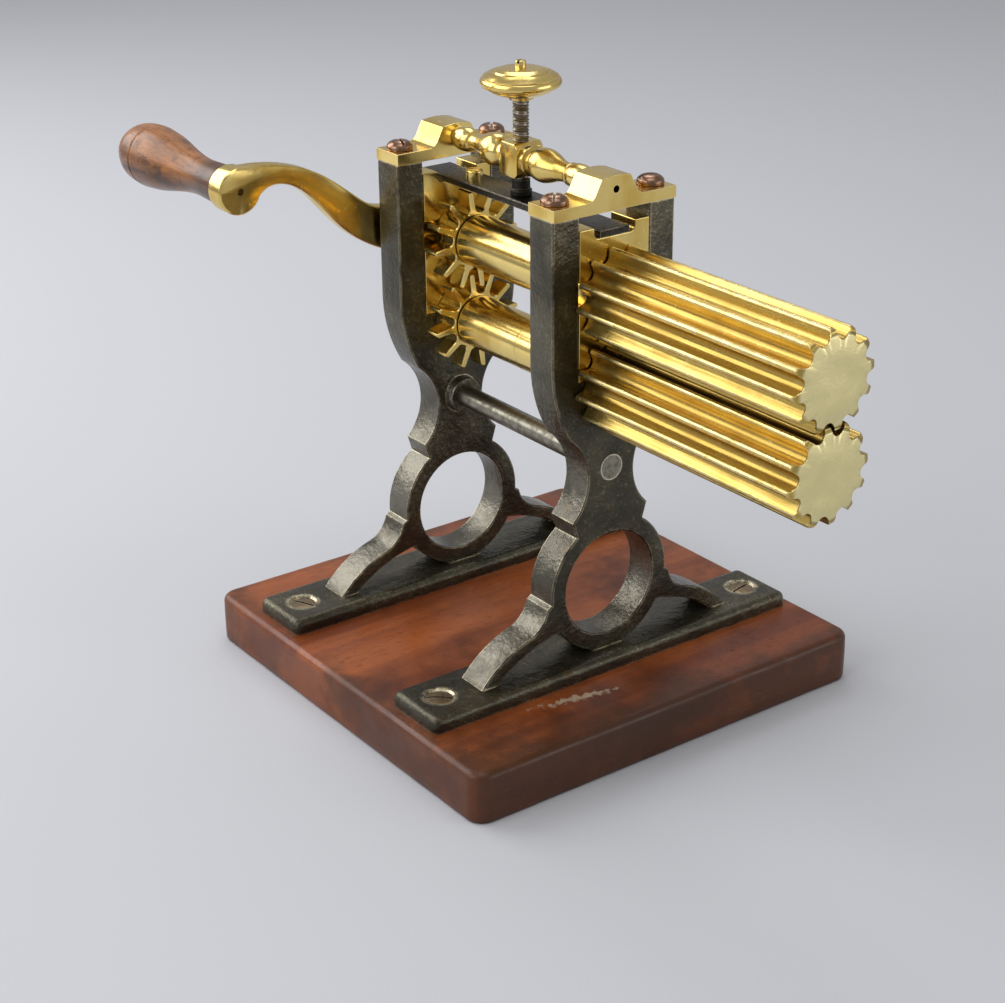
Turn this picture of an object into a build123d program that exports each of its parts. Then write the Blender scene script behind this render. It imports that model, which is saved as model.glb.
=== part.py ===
from build123d import *
import os
from math import atan2, cos, pi, radians, sin, sqrt

# Hand-cranked paper crimper: two fluted brass rollers, cantilevered from a pair of
# cast-iron frames that stand on a mahogany board. All lengths are in millimetres.
# Origin: centre of the board's underside. +X runs along the rollers towards their
# free ends, +Y along the frames' feet, +Z up.

# ---- driving dimensions -------------------------------------------------------------
# base board
BOARD_X = 180.0
BOARD_Y = 180.0
BOARD_H = 20.0
BOARD_CORNER_R = 7.0
BOARD_TOP_R = 3.0
BOARD_BOTTOM_R = 1.5

# cast frames, both from one pattern
FRAME_T = 13.4
FRAME_GAP = 81.0
FRAME_MID_X = -3.6
FRAME_EDGE_R = 0.8
POST_OUT = 27.0
WINDOW_HALF = 15.5
FRAME_TOP_Z = 195.0
RING_Z = 52.5
RING_OUT_R = 27.0
RING_HOLE_R = 20.4
WAIST_HALF = 10.6
WAIST_Z = 96.0
CUSP_Y = 17.4
CUSP_Z = 80.8
SHOULDER_Y = 19.2
SHOULDER_Z = 113.5
SHOULDER_TOP_Z = 142.0
FOOT_W = 28.4
FOOT_LEN = 169.0
FOOT_T = 6.0
FOOT_EDGE_R = 2.8
FOOT_CORNER_R = 3.0
LEG_TOE_Y = 58.7
LEG_T = 7.0
CUSP_DROP_Y = 1.9
RING_SIDE_ANGLE = 22
RING_STEP_ANGLE = -4
STEP_OUT = 1.9
STEP_DROP = 1.2
STEP_BEND_OUT = 2.6
STEP_BEND_DROP = 5.4
KNEE_OUT = 9.4
KNEE_RISE = 13.8
SHIN_BEND_OUT = 10.6
SHIN_BEND_DROP = 5.0
HEEL_BEND_IN = 12.0
HEEL_BEND_RISE = 7.6
LEG_UNDER_ANGLE = -31
RING_LOW_ANGLE = -60
RING_FOOT_ANGLE = -77
RING_SINK = 0.3
FOOT_ROOT = 1.0
FRAME_CHAMFER = 0.48
BOSS_TAPER = 6

# rollers and their gears
ROLLER_Z = 132.6
CENTRES = 32.1
TEETH = 12
FLUTE_TIP_R = 18.0
FLUTE_ROOT_R = 13.6
FLUTE_TIP_HALF = 1.2
FLUTE_ROOT_HALF = 1.7
FLUTE_FILLET = 1.6
ROLLER_LEN = 109.0
ROLLER_END_R = 4.4
ROLLER_BACK_EDGE = 0.7
ROLLER_OVERCUT = 0.1
ROLLER_GAP = 0.7
JOURNAL_R = 10.0
REAR_JOURNAL_R = 8.0
GEAR_TIP_R = 19.2
GEAR_ROOT_R = 10.9
GEAR_TIP_HALF = 1.0
GEAR_ROOT_HALF = 1.2
GEAR_FILLET = 2.2
GEAR_W = 7.6
GEAR_HUB_R = 11.6
GEAR_HUB_W = 4.7
GEAR_PIN_R = 1.3
GEAR_PIN_INSET = 0.2
RUN_FIT = 0.05
FACE_GAP = 0.3

# bearing blocks that fill the frames' windows
WINDOW_FLOOR_RISE = 2.2
MIDDLE_BLOCK_DROP = 3.9
SADDLE_RISE = 6.7
SADDLE_DROP = 5.0
BLOCK_FIT = 0.05
NOTCH_HALF = 7.0
NOTCH_DEPTH = 4.0
NOTCH_R = 2.0

# leaf spring
SPRING_HALF = 6.5
SPRING_T = 2.6
SPRING_SCREW_X = -33.0
SPRING_SCREW_R = 3.2
SPRING_SCREW_H = 3.4
SPRING_SCREW_EDGE_R = 0.9
SPRING_SCREW_TURN = 40
SPRING_EDGE = 0.4

# caps, cross bar and their screws
CAP_T = 4.3
CAP_OVERHANG = 0.5
HUMP_RISE = 11.6
HUMP_HALF = 6.4
HUMP_FOOT_Y = 10.2
HUMP_FILLET = 4.0
HUMP_CROWN = 0.7
BAR_RISE = 7.4
BAR_BLOCK_X = 10.6
BAR_BLOCK_Y = 12.0
BAR_BLOCK_Z = 12.6
BAR_BULB_R = 6.2
BAR_NECK_R = 3.3
BAR_BALL_R = 4.6
BAR_TENON_R = 3.0
BAR_TENON_LEN = 6.0
BAR_BLOCK_EDGE_R = 1.2
BAR_RING_W = 2.4
BAR_RING_R = 5.6
BAR_GROOVE_R = 4.3
BAR_GROOVE_SLOPE = 0.5
BAR_GROOVE_W = 2.0
BAR_BULB_SHARE = 0.254
BAR_NECK_SHARE = 0.651
BAR_BALL_SHARE = 0.839
BAR_STEP = 0.7
CAP_PILOT_R = 1.3
CAP_SCREW_Y = 21.2
CAP_SCREW_HEAD_R = 5.0
CAP_SCREW_HEAD_H = 3.6
CAP_SCREW_R = 2.6
CAP_SCREW_LEN = 16.0
CAP_SCREW_FLAT = 0.3
CAP_SLOT_DEPTH = 1.5
SLOT_W = 1.0
SLOT_DEPTH = 1.1

# pressure screw, pad and handwheel
SCREW_R = 3.1
SCREW_TIP_EDGE = 0.6
SCREW_TOP_GAP = 1.0
PAD_R = 4.8
PAD_H = 6.0
PAD_FLOOR = 1.6
WHEEL_RISE = 28.8
WHEEL_R = 14.8
WHEEL_H = 11.4
WHEEL_HUB_R = 5.0
NUB_R = 2.0
NUB_H = 2.4
NUB_PIN_R = 1.5
NUB_EDGE_R = 0.6
NUB_SLOT_W = 0.8
NUB_TURN = 115
PAD_EDGE_R = 1.0

# stay rod between the frames
STAY_Z = 99.0
STAY_R = 4.2
STAY_TENON_R = 3.4
STAY_BOSS_R = 7.4
STAY_BOSS_H = 4.0
STAY_RIVET_R = 5.0
STAY_RIVET_H = 1.6

# foot screws
FOOT_SCREW_Y = 73.0
FOOT_SCREW_HEAD_R = 5.2
FOOT_SCREW_R = 2.4
FOOT_SCREW_LEN = 19.0
FOOT_SCREW_SINK = 0.4

# crank and handle
CRANK_Y = -84.5
CRANK_RISE = 26.8
ARM_T = 6.0
ARM_GAP = 2.4
ARM_HUB_R = 11.0
ARM_HUB_T = 8.0
ARM_BOSS_R = 8.7
ARM_BOSS_EDGE = 2.2
ARM_CHAMFER = 0.7
SQUARE_HALF = 5.0
NUT_AF = 15.0
NUT_H = 5.0
SHAFT_THREAD_R = 4.0
SHAFT_THREAD_OUT = 1.5
GRIP_LEN = 73.0
GRIP_START_R = 7.6
GRIP_NECK_R = 7.0
GRIP_MAX_R = 12.1
SPINDLE_R = 3.0
SPINDLE_FIT = 0.06
SPINDLE_HEAD_R = 5.0
SPINDLE_HEAD_T = 2.0
SPINDLE_SOCKET = 5.5
GRIP_END_RIM = 1.6
GRIP_END_ROUND = 3.6

# ---- places worked out from the dimensions ------------------------------------------
front_back_x = FRAME_MID_X + FRAME_GAP / 2
front_face_x = front_back_x + FRAME_T
rear_face_x = FRAME_MID_X - FRAME_GAP / 2
rear_back_x = rear_face_x - FRAME_T
front_mid_x = front_back_x + FRAME_T / 2
rear_mid_x = rear_back_x + FRAME_T / 2
foot_top_z = BOARD_H + FOOT_T
upper_z = ROLLER_Z + CENTRES
flute_start_x = front_face_x + ROLLER_GAP
roller_end_x = flute_start_x + ROLLER_LEN
gear_back_x = rear_face_x + FACE_GAP
gear_face_x = gear_back_x + GEAR_HUB_W + GEAR_W
window_floor_z = ROLLER_Z + WINDOW_FLOOR_RISE
middle_block_top_z = upper_z - MIDDLE_BLOCK_DROP
saddle_bottom_z = upper_z + SADDLE_RISE
saddle_top_z = FRAME_TOP_Z - SADDLE_DROP
notch_floor_z = saddle_top_z - NOTCH_DEPTH
cap_top_z = FRAME_TOP_Z + CAP_T
hump_top_z = FRAME_TOP_Z + HUMP_RISE
bar_z = FRAME_TOP_Z + BAR_RISE
wheel_z = FRAME_TOP_Z + WHEEL_RISE
wheel_top_z = wheel_z + WHEEL_H
spring_top_z = notch_floor_z + SPRING_T
pad_bottom_z = spring_top_z + RUN_FIT
screw_tip_z = pad_bottom_z + PAD_FLOOR
arm_face_x = rear_back_x - ARM_GAP
arm_back_x = arm_face_x - ARM_T
crank_z = upper_z + CRANK_RISE
grip_start_x = arm_back_x - ARM_BOSS_EDGE - FACE_GAP
grip_end_x = grip_start_x - GRIP_LEN


# ---- base board -----------------------------------------------------------------------
def board_screw_places():
    return [(x, side * FOOT_SCREW_Y) for x in (rear_mid_x, front_mid_x) for side in (-1, 1)]


with BuildPart() as base_board:
    with BuildSketch():
        RectangleRounded(BOARD_X, BOARD_Y, BOARD_CORNER_R)
    extrude(amount=BOARD_H)
    fillet(base_board.faces().sort_by(Axis.Z)[-1].edges(), BOARD_TOP_R)
    fillet(base_board.faces().sort_by(Axis.Z)[0].edges(), BOARD_BOTTOM_R)
    with BuildSketch(Plane.XY.offset(BOARD_H)):
        with Locations(*board_screw_places()):
            Circle(FOOT_SCREW_R)
    extrude(amount=-(FOOT_SCREW_LEN - FOOT_T), mode=Mode.SUBTRACT)


# ---- cast frames ----------------------------------------------------------------------
def ring_point(angle):
    """The point of the foot ring's outer circle at an angle above +Y."""
    return (RING_OUT_R * cos(radians(angle)), RING_Z + RING_OUT_R * sin(radians(angle)))


def frame_half_outline():
    """One half of the upright's outline, from the post's top down to the toe."""
    cusp_root_y = CUSP_Y - CUSP_DROP_Y
    cusp_root = (cusp_root_y, RING_Z + sqrt(RING_OUT_R**2 - cusp_root_y**2))
    ring_step = ring_point(RING_STEP_ANGLE)
    step = (ring_step[0] + STEP_OUT, ring_step[1] - STEP_DROP)
    step_bend = (step[0] + STEP_BEND_OUT, step[1] - STEP_BEND_DROP)
    knee = (step[0] + KNEE_OUT, foot_top_z + KNEE_RISE)
    shin_bend = (knee[0] + SHIN_BEND_OUT, knee[1] - SHIN_BEND_DROP)
    toe = (LEG_TOE_Y, foot_top_z)
    heel = (LEG_TOE_Y - LEG_T, foot_top_z)
    heel_bend = (heel[0] - HEEL_BEND_IN, heel[1] + HEEL_BEND_RISE)
    under = ring_point(LEG_UNDER_ANGLE)
    ring_foot = (ring_point(RING_FOOT_ANGLE)[0], foot_top_z - RING_SINK)
    root_z = foot_top_z - FOOT_ROOT
    Line((0, FRAME_TOP_Z), (POST_OUT, FRAME_TOP_Z))
    Line((POST_OUT, FRAME_TOP_Z), (POST_OUT, SHOULDER_TOP_Z))
    TangentArc((POST_OUT, SHOULDER_TOP_Z), (SHOULDER_Y, SHOULDER_Z), tangent=(0, -1))
    ThreePointArc((SHOULDER_Y, SHOULDER_Z), (WAIST_HALF, WAIST_Z), (CUSP_Y, CUSP_Z))
    Line((CUSP_Y, CUSP_Z), cusp_root)
    ThreePointArc(cusp_root, ring_point(RING_SIDE_ANGLE), ring_step)
    Line(ring_step, step)
    ThreePointArc(step, step_bend, knee)
    ThreePointArc(knee, shin_bend, toe)
    Line(toe, heel)
    ThreePointArc(heel, heel_bend, under)
    ThreePointArc(under, ring_point(RING_LOW_ANGLE), ring_foot)
    Line(ring_foot, (ring_foot[0], root_z))
    Line((ring_foot[0], root_z), (0, root_z))


def cast_frame(back_x, seat_r, inner_sign):
    """A forked upright on its foot plate, with a half-round seat for the lower journal."""
    mid_x = back_x + FRAME_T / 2
    inner_x = back_x + FRAME_T if inner_sign > 0 else back_x
    outer_x = back_x if inner_sign > 0 else back_x + FRAME_T
    with BuildPart() as frame:
        with BuildSketch(Plane.YZ.offset(back_x)):
            with BuildLine():
                frame_half_outline()
                mirror(about=Plane.YZ)
            make_face()
            with Locations((0, RING_Z)):
                Circle(RING_HOLE_R, mode=Mode.SUBTRACT)
            with Locations((0, (FRAME_TOP_Z + window_floor_z) / 2)):
                Rectangle(2 * WINDOW_HALF, FRAME_TOP_Z - window_floor_z, mode=Mode.SUBTRACT)
            with Locations((0, ROLLER_Z)):
                Circle(seat_r + RUN_FIT, mode=Mode.SUBTRACT)
        extrude(amount=FRAME_T)
        flat_faces = frame.faces().filter_by(Axis.X)
        outline_edges = flat_faces.edges().filter_by(
            lambda e: e.center().Z > foot_top_z + FRAME_EDGE_R and e.center().Z < FRAME_TOP_Z - FRAME_EDGE_R
        )
        chamfer(outline_edges, FRAME_CHAMFER)
        with BuildSketch(Plane.XY.offset(BOARD_H)):
            with Locations((mid_x, 0)):
                RectangleRounded(FOOT_W, FOOT_LEN, FOOT_CORNER_R)
        extrude(amount=FOOT_T)
        rim_edges = frame.edges().filter_by(
            lambda e: abs(e.center().Z - foot_top_z) < RUN_FIT
            and (abs(e.center().X - mid_x) > FOOT_W / 2 - FOOT_CORNER_R
                 or abs(e.center().Y) > FOOT_LEN / 2 - FOOT_CORNER_R)
        )
        fillet(rim_edges, FOOT_EDGE_R)
        with Locations(*[(mid_x, s * FOOT_SCREW_Y, foot_top_z) for s in (-1, 1)]):
            CounterSinkHole(
                FOOT_SCREW_R + RUN_FIT,
                FOOT_SCREW_HEAD_R + FOOT_SCREW_SINK + RUN_FIT,
                FOOT_T,
                counter_sink_angle=90,
            )
        with BuildSketch(Plane.XY.offset(FRAME_TOP_Z)):
            with Locations(*[(mid_x, s * CAP_SCREW_Y) for s in (-1, 1)]):
                Circle(CAP_SCREW_R)
        extrude(amount=-(CAP_SCREW_LEN - CAP_T), mode=Mode.SUBTRACT)
        with BuildSketch(Plane.YZ.offset(inner_x)):
            with Locations((0, STAY_Z)):
                Circle(STAY_BOSS_R)
        extrude(amount=inner_sign * STAY_BOSS_H, taper=BOSS_TAPER)
        with BuildSketch(Plane.YZ.offset(inner_x + inner_sign * STAY_BOSS_H)):
            with Locations((0, STAY_Z)):
                Circle(STAY_TENON_R)
        extrude(amount=-inner_sign * (STAY_BOSS_H + FRAME_T), mode=Mode.SUBTRACT)
        with BuildSketch(Plane.YZ.offset(outer_x)):
            with Locations((0, STAY_Z)):
                Circle(STAY_RIVET_R)
        with BuildSketch(Plane.YZ.offset(outer_x + inner_sign * STAY_RIVET_H)):
            with Locations((0, STAY_Z)):
                Circle(STAY_TENON_R)
        loft(mode=Mode.SUBTRACT)
    return frame


rear_frame = cast_frame(rear_back_x, REAR_JOURNAL_R, 1)
front_frame = cast_frame(front_back_x, JOURNAL_R, -1)


# ---- bearing blocks ---------------------------------------------------------------------
def middle_block(back_x, lower_r, upper_r):
    """The block between the journals: a half-round seat above and below."""
    with BuildPart() as block:
        with BuildSketch(Plane.YZ.offset(back_x)):
            with Locations((0, (window_floor_z + middle_block_top_z) / 2)):
                Rectangle(
                    2 * (WINDOW_HALF - BLOCK_FIT),
                    middle_block_top_z - window_floor_z,
                )
            with Locations((0, ROLLER_Z)):
                Circle(lower_r + RUN_FIT, mode=Mode.SUBTRACT)
            with Locations((0, upper_z)):
                Circle(upper_r + RUN_FIT, mode=Mode.SUBTRACT)
        extrude(amount=FRAME_T)
    return block


def saddle(back_x, journal_r):
    """The top block: horns each side of a notch for the spring, saddled on the journal."""
    half = WINDOW_HALF - BLOCK_FIT
    with BuildPart() as block:
        with BuildSketch(Plane.YZ.offset(back_x)):
            with BuildLine():
                Line((0, saddle_bottom_z), (half, saddle_bottom_z))
                Line((half, saddle_bottom_z), (half, saddle_top_z))
                Line((half, saddle_top_z), (NOTCH_HALF + NOTCH_R, saddle_top_z))
                Line((NOTCH_HALF + NOTCH_R, saddle_top_z), (NOTCH_HALF + NOTCH_R, notch_floor_z + NOTCH_R))
                RadiusArc(
                    (NOTCH_HALF + NOTCH_R, notch_floor_z + NOTCH_R), (NOTCH_HALF, notch_floor_z), NOTCH_R
                )
                Line((NOTCH_HALF, notch_floor_z), (0, notch_floor_z))
                mirror(about=Plane.YZ)
            make_face()
            with Locations((0, upper_z)):
                Circle(journal_r + RUN_FIT, mode=Mode.SUBTRACT)
        extrude(amount=FRAME_T)
    return block


rear_middle_block = middle_block(rear_back_x, REAR_JOURNAL_R, REAR_JOURNAL_R)
front_middle_block = middle_block(front_back_x, JOURNAL_R, JOURNAL_R)
rear_saddle = saddle(rear_back_x, REAR_JOURNAL_R)
front_saddle = saddle(front_back_x, JOURNAL_R)

# ---- leaf spring ------------------------------------------------------------------------
with BuildPart() as leaf_spring:
    with BuildSketch(Plane.XY.offset(notch_floor_z)):
        with Locations((FRAME_MID_X, 0)):
            Rectangle(FRAME_GAP + 2 * FRAME_T, 2 * SPRING_HALF)
    extrude(amount=SPRING_T)
    with BuildSketch(Plane.XY.offset(notch_floor_z)):
        with Locations((SPRING_SCREW_X, 0)):
            Circle(SPRING_SCREW_R / 2)
    extrude(amount=SPRING_T, mode=Mode.SUBTRACT)
    chamfer(leaf_spring.faces().sort_by(Axis.Z)[-1].edges().filter_by(Axis.X), SPRING_EDGE)

with BuildPart() as spring_screw:
    with BuildSketch(Plane.XY.offset(spring_top_z)):
        with Locations((SPRING_SCREW_X, 0)):
            Circle(SPRING_SCREW_R)
    extrude(amount=SPRING_SCREW_H)
    fillet(spring_screw.faces().sort_by(Axis.Z)[-1].edges(), SPRING_SCREW_EDGE_R)
    with BuildSketch(Plane.XY.offset(spring_top_z)):
        with Locations((SPRING_SCREW_X, 0)):
            Circle(SPRING_SCREW_R / 2)
    extrude(amount=-SPRING_T)
    with BuildSketch(Plane.XY.offset(spring_top_z + SPRING_SCREW_H)):
        with Locations((SPRING_SCREW_X, 0)):
            Rectangle(2 * SPRING_SCREW_R, SLOT_W, rotation=SPRING_SCREW_TURN)
    extrude(amount=-SLOT_DEPTH, mode=Mode.SUBTRACT)


# ---- rollers and gears ------------------------------------------------------------------
def toothed_outline(tip_r, root_r, tip_half, root_half, root_fillet):
    """A ring of straight-sided teeth with round tips and round valleys, tooth 0 on +Z."""
    valley_r = root_r + root_fillet
    flank_foot = (root_half, sqrt(valley_r**2 - root_half**2))
    flank_top = (tip_half, tip_r - tip_half)
    step = 2 * pi / TEETH
    mirrored = (-root_half, flank_foot[1])
    next_foot = (
        mirrored[0] * cos(step) + mirrored[1] * sin(step),
        -mirrored[0] * sin(step) + mirrored[1] * cos(step),
    )
    valley = (root_r * sin(step / 2), root_r * cos(step / 2))
    with BuildLine() as tooth:
        Line(mirrored, (-flank_top[0], flank_top[1]))
        ThreePointArc((-flank_top[0], flank_top[1]), (0, tip_r), flank_top)
        Line(flank_top, flank_foot)
        ThreePointArc(flank_foot, valley, next_foot)
    return tooth.line


roller_tooth = toothed_outline(FLUTE_TIP_R, FLUTE_ROOT_R, FLUTE_TIP_HALF, FLUTE_ROOT_HALF, FLUTE_FILLET)
gear_tooth = toothed_outline(GEAR_TIP_R, GEAR_ROOT_R, GEAR_TIP_HALF, GEAR_ROOT_HALF, GEAR_FILLET)
quarter_pitch = 90 / TEETH


def roller_plane(x, axis_z, turn):
    """The plane across a roller at x, turned about its axis by turn degrees."""
    return Plane(origin=(x, 0, axis_z), x_dir=(0, cos(radians(turn)), sin(radians(turn))), z_dir=(1, 0, 0))


def fluted_roller(axis_z, turn, shaft_end_x):
    """Flutes in front of the frames, a journal between them, and a thinner rear shaft."""
    with BuildPart() as roller:
        with BuildSketch(roller_plane(flute_start_x, axis_z, turn)):
            with BuildLine():
                with PolarLocations(0, TEETH):
                    add(roller_tooth)
            make_face()
        extrude(amount=ROLLER_LEN)
        rim_z = axis_z + FLUTE_TIP_R + ROLLER_OVERCUT
        with BuildSketch(Plane.XZ):
            with BuildLine():
                Polyline(
                    (flute_start_x, axis_z),
                    (flute_start_x, rim_z - ROLLER_BACK_EDGE),
                    (flute_start_x + ROLLER_BACK_EDGE, rim_z),
                    (roller_end_x - ROLLER_END_R, rim_z),
                )
                TangentArc(
                    (roller_end_x - ROLLER_END_R, rim_z),
                    (roller_end_x, rim_z - ROLLER_END_R),
                    tangent=(1, 0),
                )
                Polyline(
                    (roller_end_x, rim_z - ROLLER_END_R),
                    (roller_end_x, axis_z),
                    (flute_start_x, axis_z),
                )
            make_face()
        revolve(axis=Axis((0, 0, axis_z), (1, 0, 0)), mode=Mode.INTERSECT)
        with BuildSketch(Plane.YZ.offset(gear_face_x)):
            with Locations((0, axis_z)):
                Circle(JOURNAL_R)
        extrude(amount=flute_start_x - gear_face_x)
        with BuildSketch(Plane.YZ.offset(shaft_end_x)):
            with Locations((0, axis_z)):
                Circle(REAR_JOURNAL_R)
        extrude(amount=gear_face_x - shaft_end_x)
    return roller


def pinion(axis_z, turn):
    """A slim-toothed gear with a hub behind it, bored for the rear shaft."""
    with BuildPart() as gear:
        with BuildSketch(Plane.YZ.offset(gear_back_x)):
            with Locations((0, axis_z)):
                Circle(GEAR_HUB_R)
        extrude(amount=GEAR_HUB_W)
        with BuildSketch(roller_plane(gear_back_x + GEAR_HUB_W, axis_z, turn)):
            with BuildLine():
                with PolarLocations(0, TEETH):
                    add(gear_tooth)
            make_face()
        extrude(amount=GEAR_W)
        with BuildSketch(Plane.YZ.offset(gear_back_x)):
            with Locations((0, axis_z)):
                Circle(REAR_JOURNAL_R)
        extrude(amount=GEAR_HUB_W + GEAR_W, mode=Mode.SUBTRACT)
        with BuildSketch(Plane.XY.offset(axis_z - GEAR_HUB_R)):
            with Locations((gear_back_x + GEAR_HUB_W / 2, 0)):
                Circle(GEAR_PIN_R)
        extrude(amount=2 * GEAR_HUB_R, mode=Mode.SUBTRACT)
    return gear


def hub_pin(axis_z):
    """The cross pin that holds a gear's hub to its shaft."""
    with BuildPart() as pin:
        with BuildSketch(Plane.XY.offset(axis_z - GEAR_HUB_R + GEAR_PIN_INSET)):
            with Locations((gear_back_x + GEAR_HUB_W / 2, 0)):
                Circle(GEAR_PIN_R)
        extrude(amount=2 * (GEAR_HUB_R - GEAR_PIN_INSET))
    return pin


def drill_pin_hole(roller, axis_z):
    """Takes the cross pin's hole out of a roller's rear shaft."""
    with BuildPart() as drilled:
        add(roller.part)
        with BuildSketch(Plane.XY.offset(axis_z - GEAR_HUB_R)):
            with Locations((gear_back_x + GEAR_HUB_W / 2, 0)):
                Circle(GEAR_PIN_R)
        extrude(amount=2 * GEAR_HUB_R, mode=Mode.SUBTRACT)
    return drilled


upper_blank = fluted_roller(upper_z, quarter_pitch, rear_back_x - ARM_GAP + FACE_GAP)
with BuildPart() as upper_roller:
    add(drill_pin_hole(upper_blank, upper_z).part)
    with BuildSketch(Plane.YZ.offset(arm_face_x + FACE_GAP)):
        with Locations((0, upper_z)):
            Rectangle(2 * SQUARE_HALF, 2 * SQUARE_HALF)
    extrude(amount=-(ARM_HUB_T + FACE_GAP))
    with BuildSketch(Plane.YZ.offset(arm_face_x - ARM_HUB_T)):
        with Locations((0, upper_z)):
            Circle(SHAFT_THREAD_R)
    extrude(amount=-(NUT_H + SHAFT_THREAD_OUT))

lower_roller = drill_pin_hole(fluted_roller(ROLLER_Z, quarter_pitch, rear_back_x - FACE_GAP), ROLLER_Z)
upper_gear = pinion(upper_z, quarter_pitch)
lower_gear = pinion(ROLLER_Z, quarter_pitch)
upper_gear_pin = hub_pin(upper_z)
lower_gear_pin = hub_pin(ROLLER_Z)


# ---- caps, cross bar and their screws ---------------------------------------------------
def cap(back_x, socket_sign):
    """A brass bridge over a frame's posts, humped in the middle to hold the cross bar."""
    width = FRAME_T + 2 * CAP_OVERHANG
    inner_x = back_x - CAP_OVERHANG + (width if socket_sign > 0 else 0)
    with BuildPart() as bridge:
        with BuildSketch(Plane.YZ.offset(back_x - CAP_OVERHANG)):
            with BuildLine():
                Line((0, FRAME_TOP_Z), (POST_OUT, FRAME_TOP_Z))
                Line((POST_OUT, FRAME_TOP_Z), (POST_OUT, cap_top_z))
                FilletPolyline(
                    (POST_OUT, cap_top_z),
                    (HUMP_FOOT_Y, cap_top_z),
                    (HUMP_HALF, hump_top_z),
                    radius=HUMP_FILLET,
                )
                ThreePointArc(
                    (HUMP_HALF, hump_top_z), (0, hump_top_z + HUMP_CROWN), (-HUMP_HALF, hump_top_z)
                )
                FilletPolyline(
                    (-HUMP_HALF, hump_top_z),
                    (-HUMP_FOOT_Y, cap_top_z),
                    (-POST_OUT, cap_top_z),
                    radius=HUMP_FILLET,
                )
                Line((-POST_OUT, cap_top_z), (-POST_OUT, FRAME_TOP_Z))
                Line((-POST_OUT, FRAME_TOP_Z), (0, FRAME_TOP_Z))
            make_face()
        extrude(amount=width)
        with BuildSketch(Plane.YZ.offset(inner_x)):
            with Locations((0, bar_z)):
                Circle(BAR_TENON_R)
        extrude(amount=-socket_sign * BAR_TENON_LEN, mode=Mode.SUBTRACT)
        with BuildSketch(Plane.YZ.offset(inner_x)):
            with Locations((0, bar_z)):
                Circle(CAP_PILOT_R)
        extrude(amount=-socket_sign * width, mode=Mode.SUBTRACT)
        with BuildSketch(Plane.XY.offset(FRAME_TOP_Z)):
            with Locations(*[(back_x + FRAME_T / 2, s * CAP_SCREW_Y) for s in (-1, 1)]):
                Circle(CAP_SCREW_R)
        extrude(amount=CAP_T, mode=Mode.SUBTRACT)
    return bridge


rear_cap = cap(rear_back_x, 1)
front_cap = cap(front_back_x, -1)

with BuildPart() as cap_screws:
    cap_screw_places = [(x, s * CAP_SCREW_Y) for x in (rear_mid_x, front_mid_x) for s in (-1, 1)]
    with BuildSketch(Plane.XY.offset(cap_top_z)):
        with Locations(*cap_screw_places):
            Circle(CAP_SCREW_HEAD_R)
    extrude(amount=CAP_SCREW_HEAD_H)
    fillet(cap_screws.faces().group_by(Axis.Z)[-1].edges(), CAP_SCREW_HEAD_H - CAP_SCREW_FLAT)
    with BuildSketch(Plane.XY.offset(cap_top_z)):
        with Locations(*cap_screw_places):
            Circle(CAP_SCREW_R)
    extrude(amount=-CAP_SCREW_LEN)
    with BuildSketch(Plane.XY.offset(cap_top_z + CAP_SCREW_HEAD_H)):
        for place, turn in zip(cap_screw_places, (70, 115, 80, 20)):
            with Locations(place):
                Rectangle(2 * CAP_SCREW_HEAD_R, SLOT_W, rotation=turn)
    extrude(amount=-CAP_SLOT_DEPTH, mode=Mode.SUBTRACT)

with BuildPart() as cross_bar:
    for side in (-1, 1):
        ring_x = FRAME_MID_X + side * (BAR_BLOCK_X / 2 + BAR_RING_W)
        groove_x = ring_x + side * BAR_GROOVE_W
        end_x = FRAME_MID_X + side * (FRAME_GAP / 2 - CAP_OVERHANG)
        bulb_x = ring_x + BAR_BULB_SHARE * (end_x - ring_x)
        neck_x = ring_x + BAR_NECK_SHARE * (end_x - ring_x)
        ball_x = ring_x + BAR_BALL_SHARE * (end_x - ring_x)
        tenon_x = end_x + side * (BAR_TENON_LEN - FACE_GAP)
        ring_top = bar_z + BAR_RING_R
        groove_top = bar_z + BAR_GROOVE_R
        neck_top = bar_z + BAR_NECK_R
        step = (neck_x + side * BAR_STEP, neck_top + BAR_STEP)
        with BuildSketch(Plane.XZ):
            with BuildLine():
                Polyline(
                    (FRAME_MID_X, bar_z),
                    (FRAME_MID_X, ring_top),
                    (ring_x, ring_top),
                    (ring_x + side * BAR_GROOVE_SLOPE, groove_top),
                    (groove_x, groove_top),
                )
                Spline(
                    (groove_x, groove_top),
                    (bulb_x, bar_z + BAR_BULB_R),
                    (neck_x, neck_top),
                    tangents=((side * 0.3, 1), (side, 0)),
                )
                Line((neck_x, neck_top), step)
                ThreePointArc(step, (ball_x, bar_z + BAR_BALL_R), (end_x, neck_top))
                Polyline(
                    (end_x, neck_top),
                    (end_x, bar_z + BAR_TENON_R),
                    (tenon_x, bar_z + BAR_TENON_R),
                    (tenon_x, bar_z),
                    (FRAME_MID_X, bar_z),
                )
            make_face()
        revolve(axis=Axis((0, 0, bar_z), (1, 0, 0)))
    with BuildSketch(Plane.YZ.offset(FRAME_MID_X - BAR_BLOCK_X / 2)):
        with Locations((0, bar_z)):
            RectangleRounded(BAR_BLOCK_Y, BAR_BLOCK_Z, BAR_BLOCK_EDGE_R)
    extrude(amount=BAR_BLOCK_X)
    with BuildSketch(Plane.XY.offset(bar_z - BAR_BLOCK_Z)):
        with Locations((FRAME_MID_X, 0)):
            Circle(SCREW_R + RUN_FIT)
    extrude(amount=2 * BAR_BLOCK_Z, mode=Mode.SUBTRACT)

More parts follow.
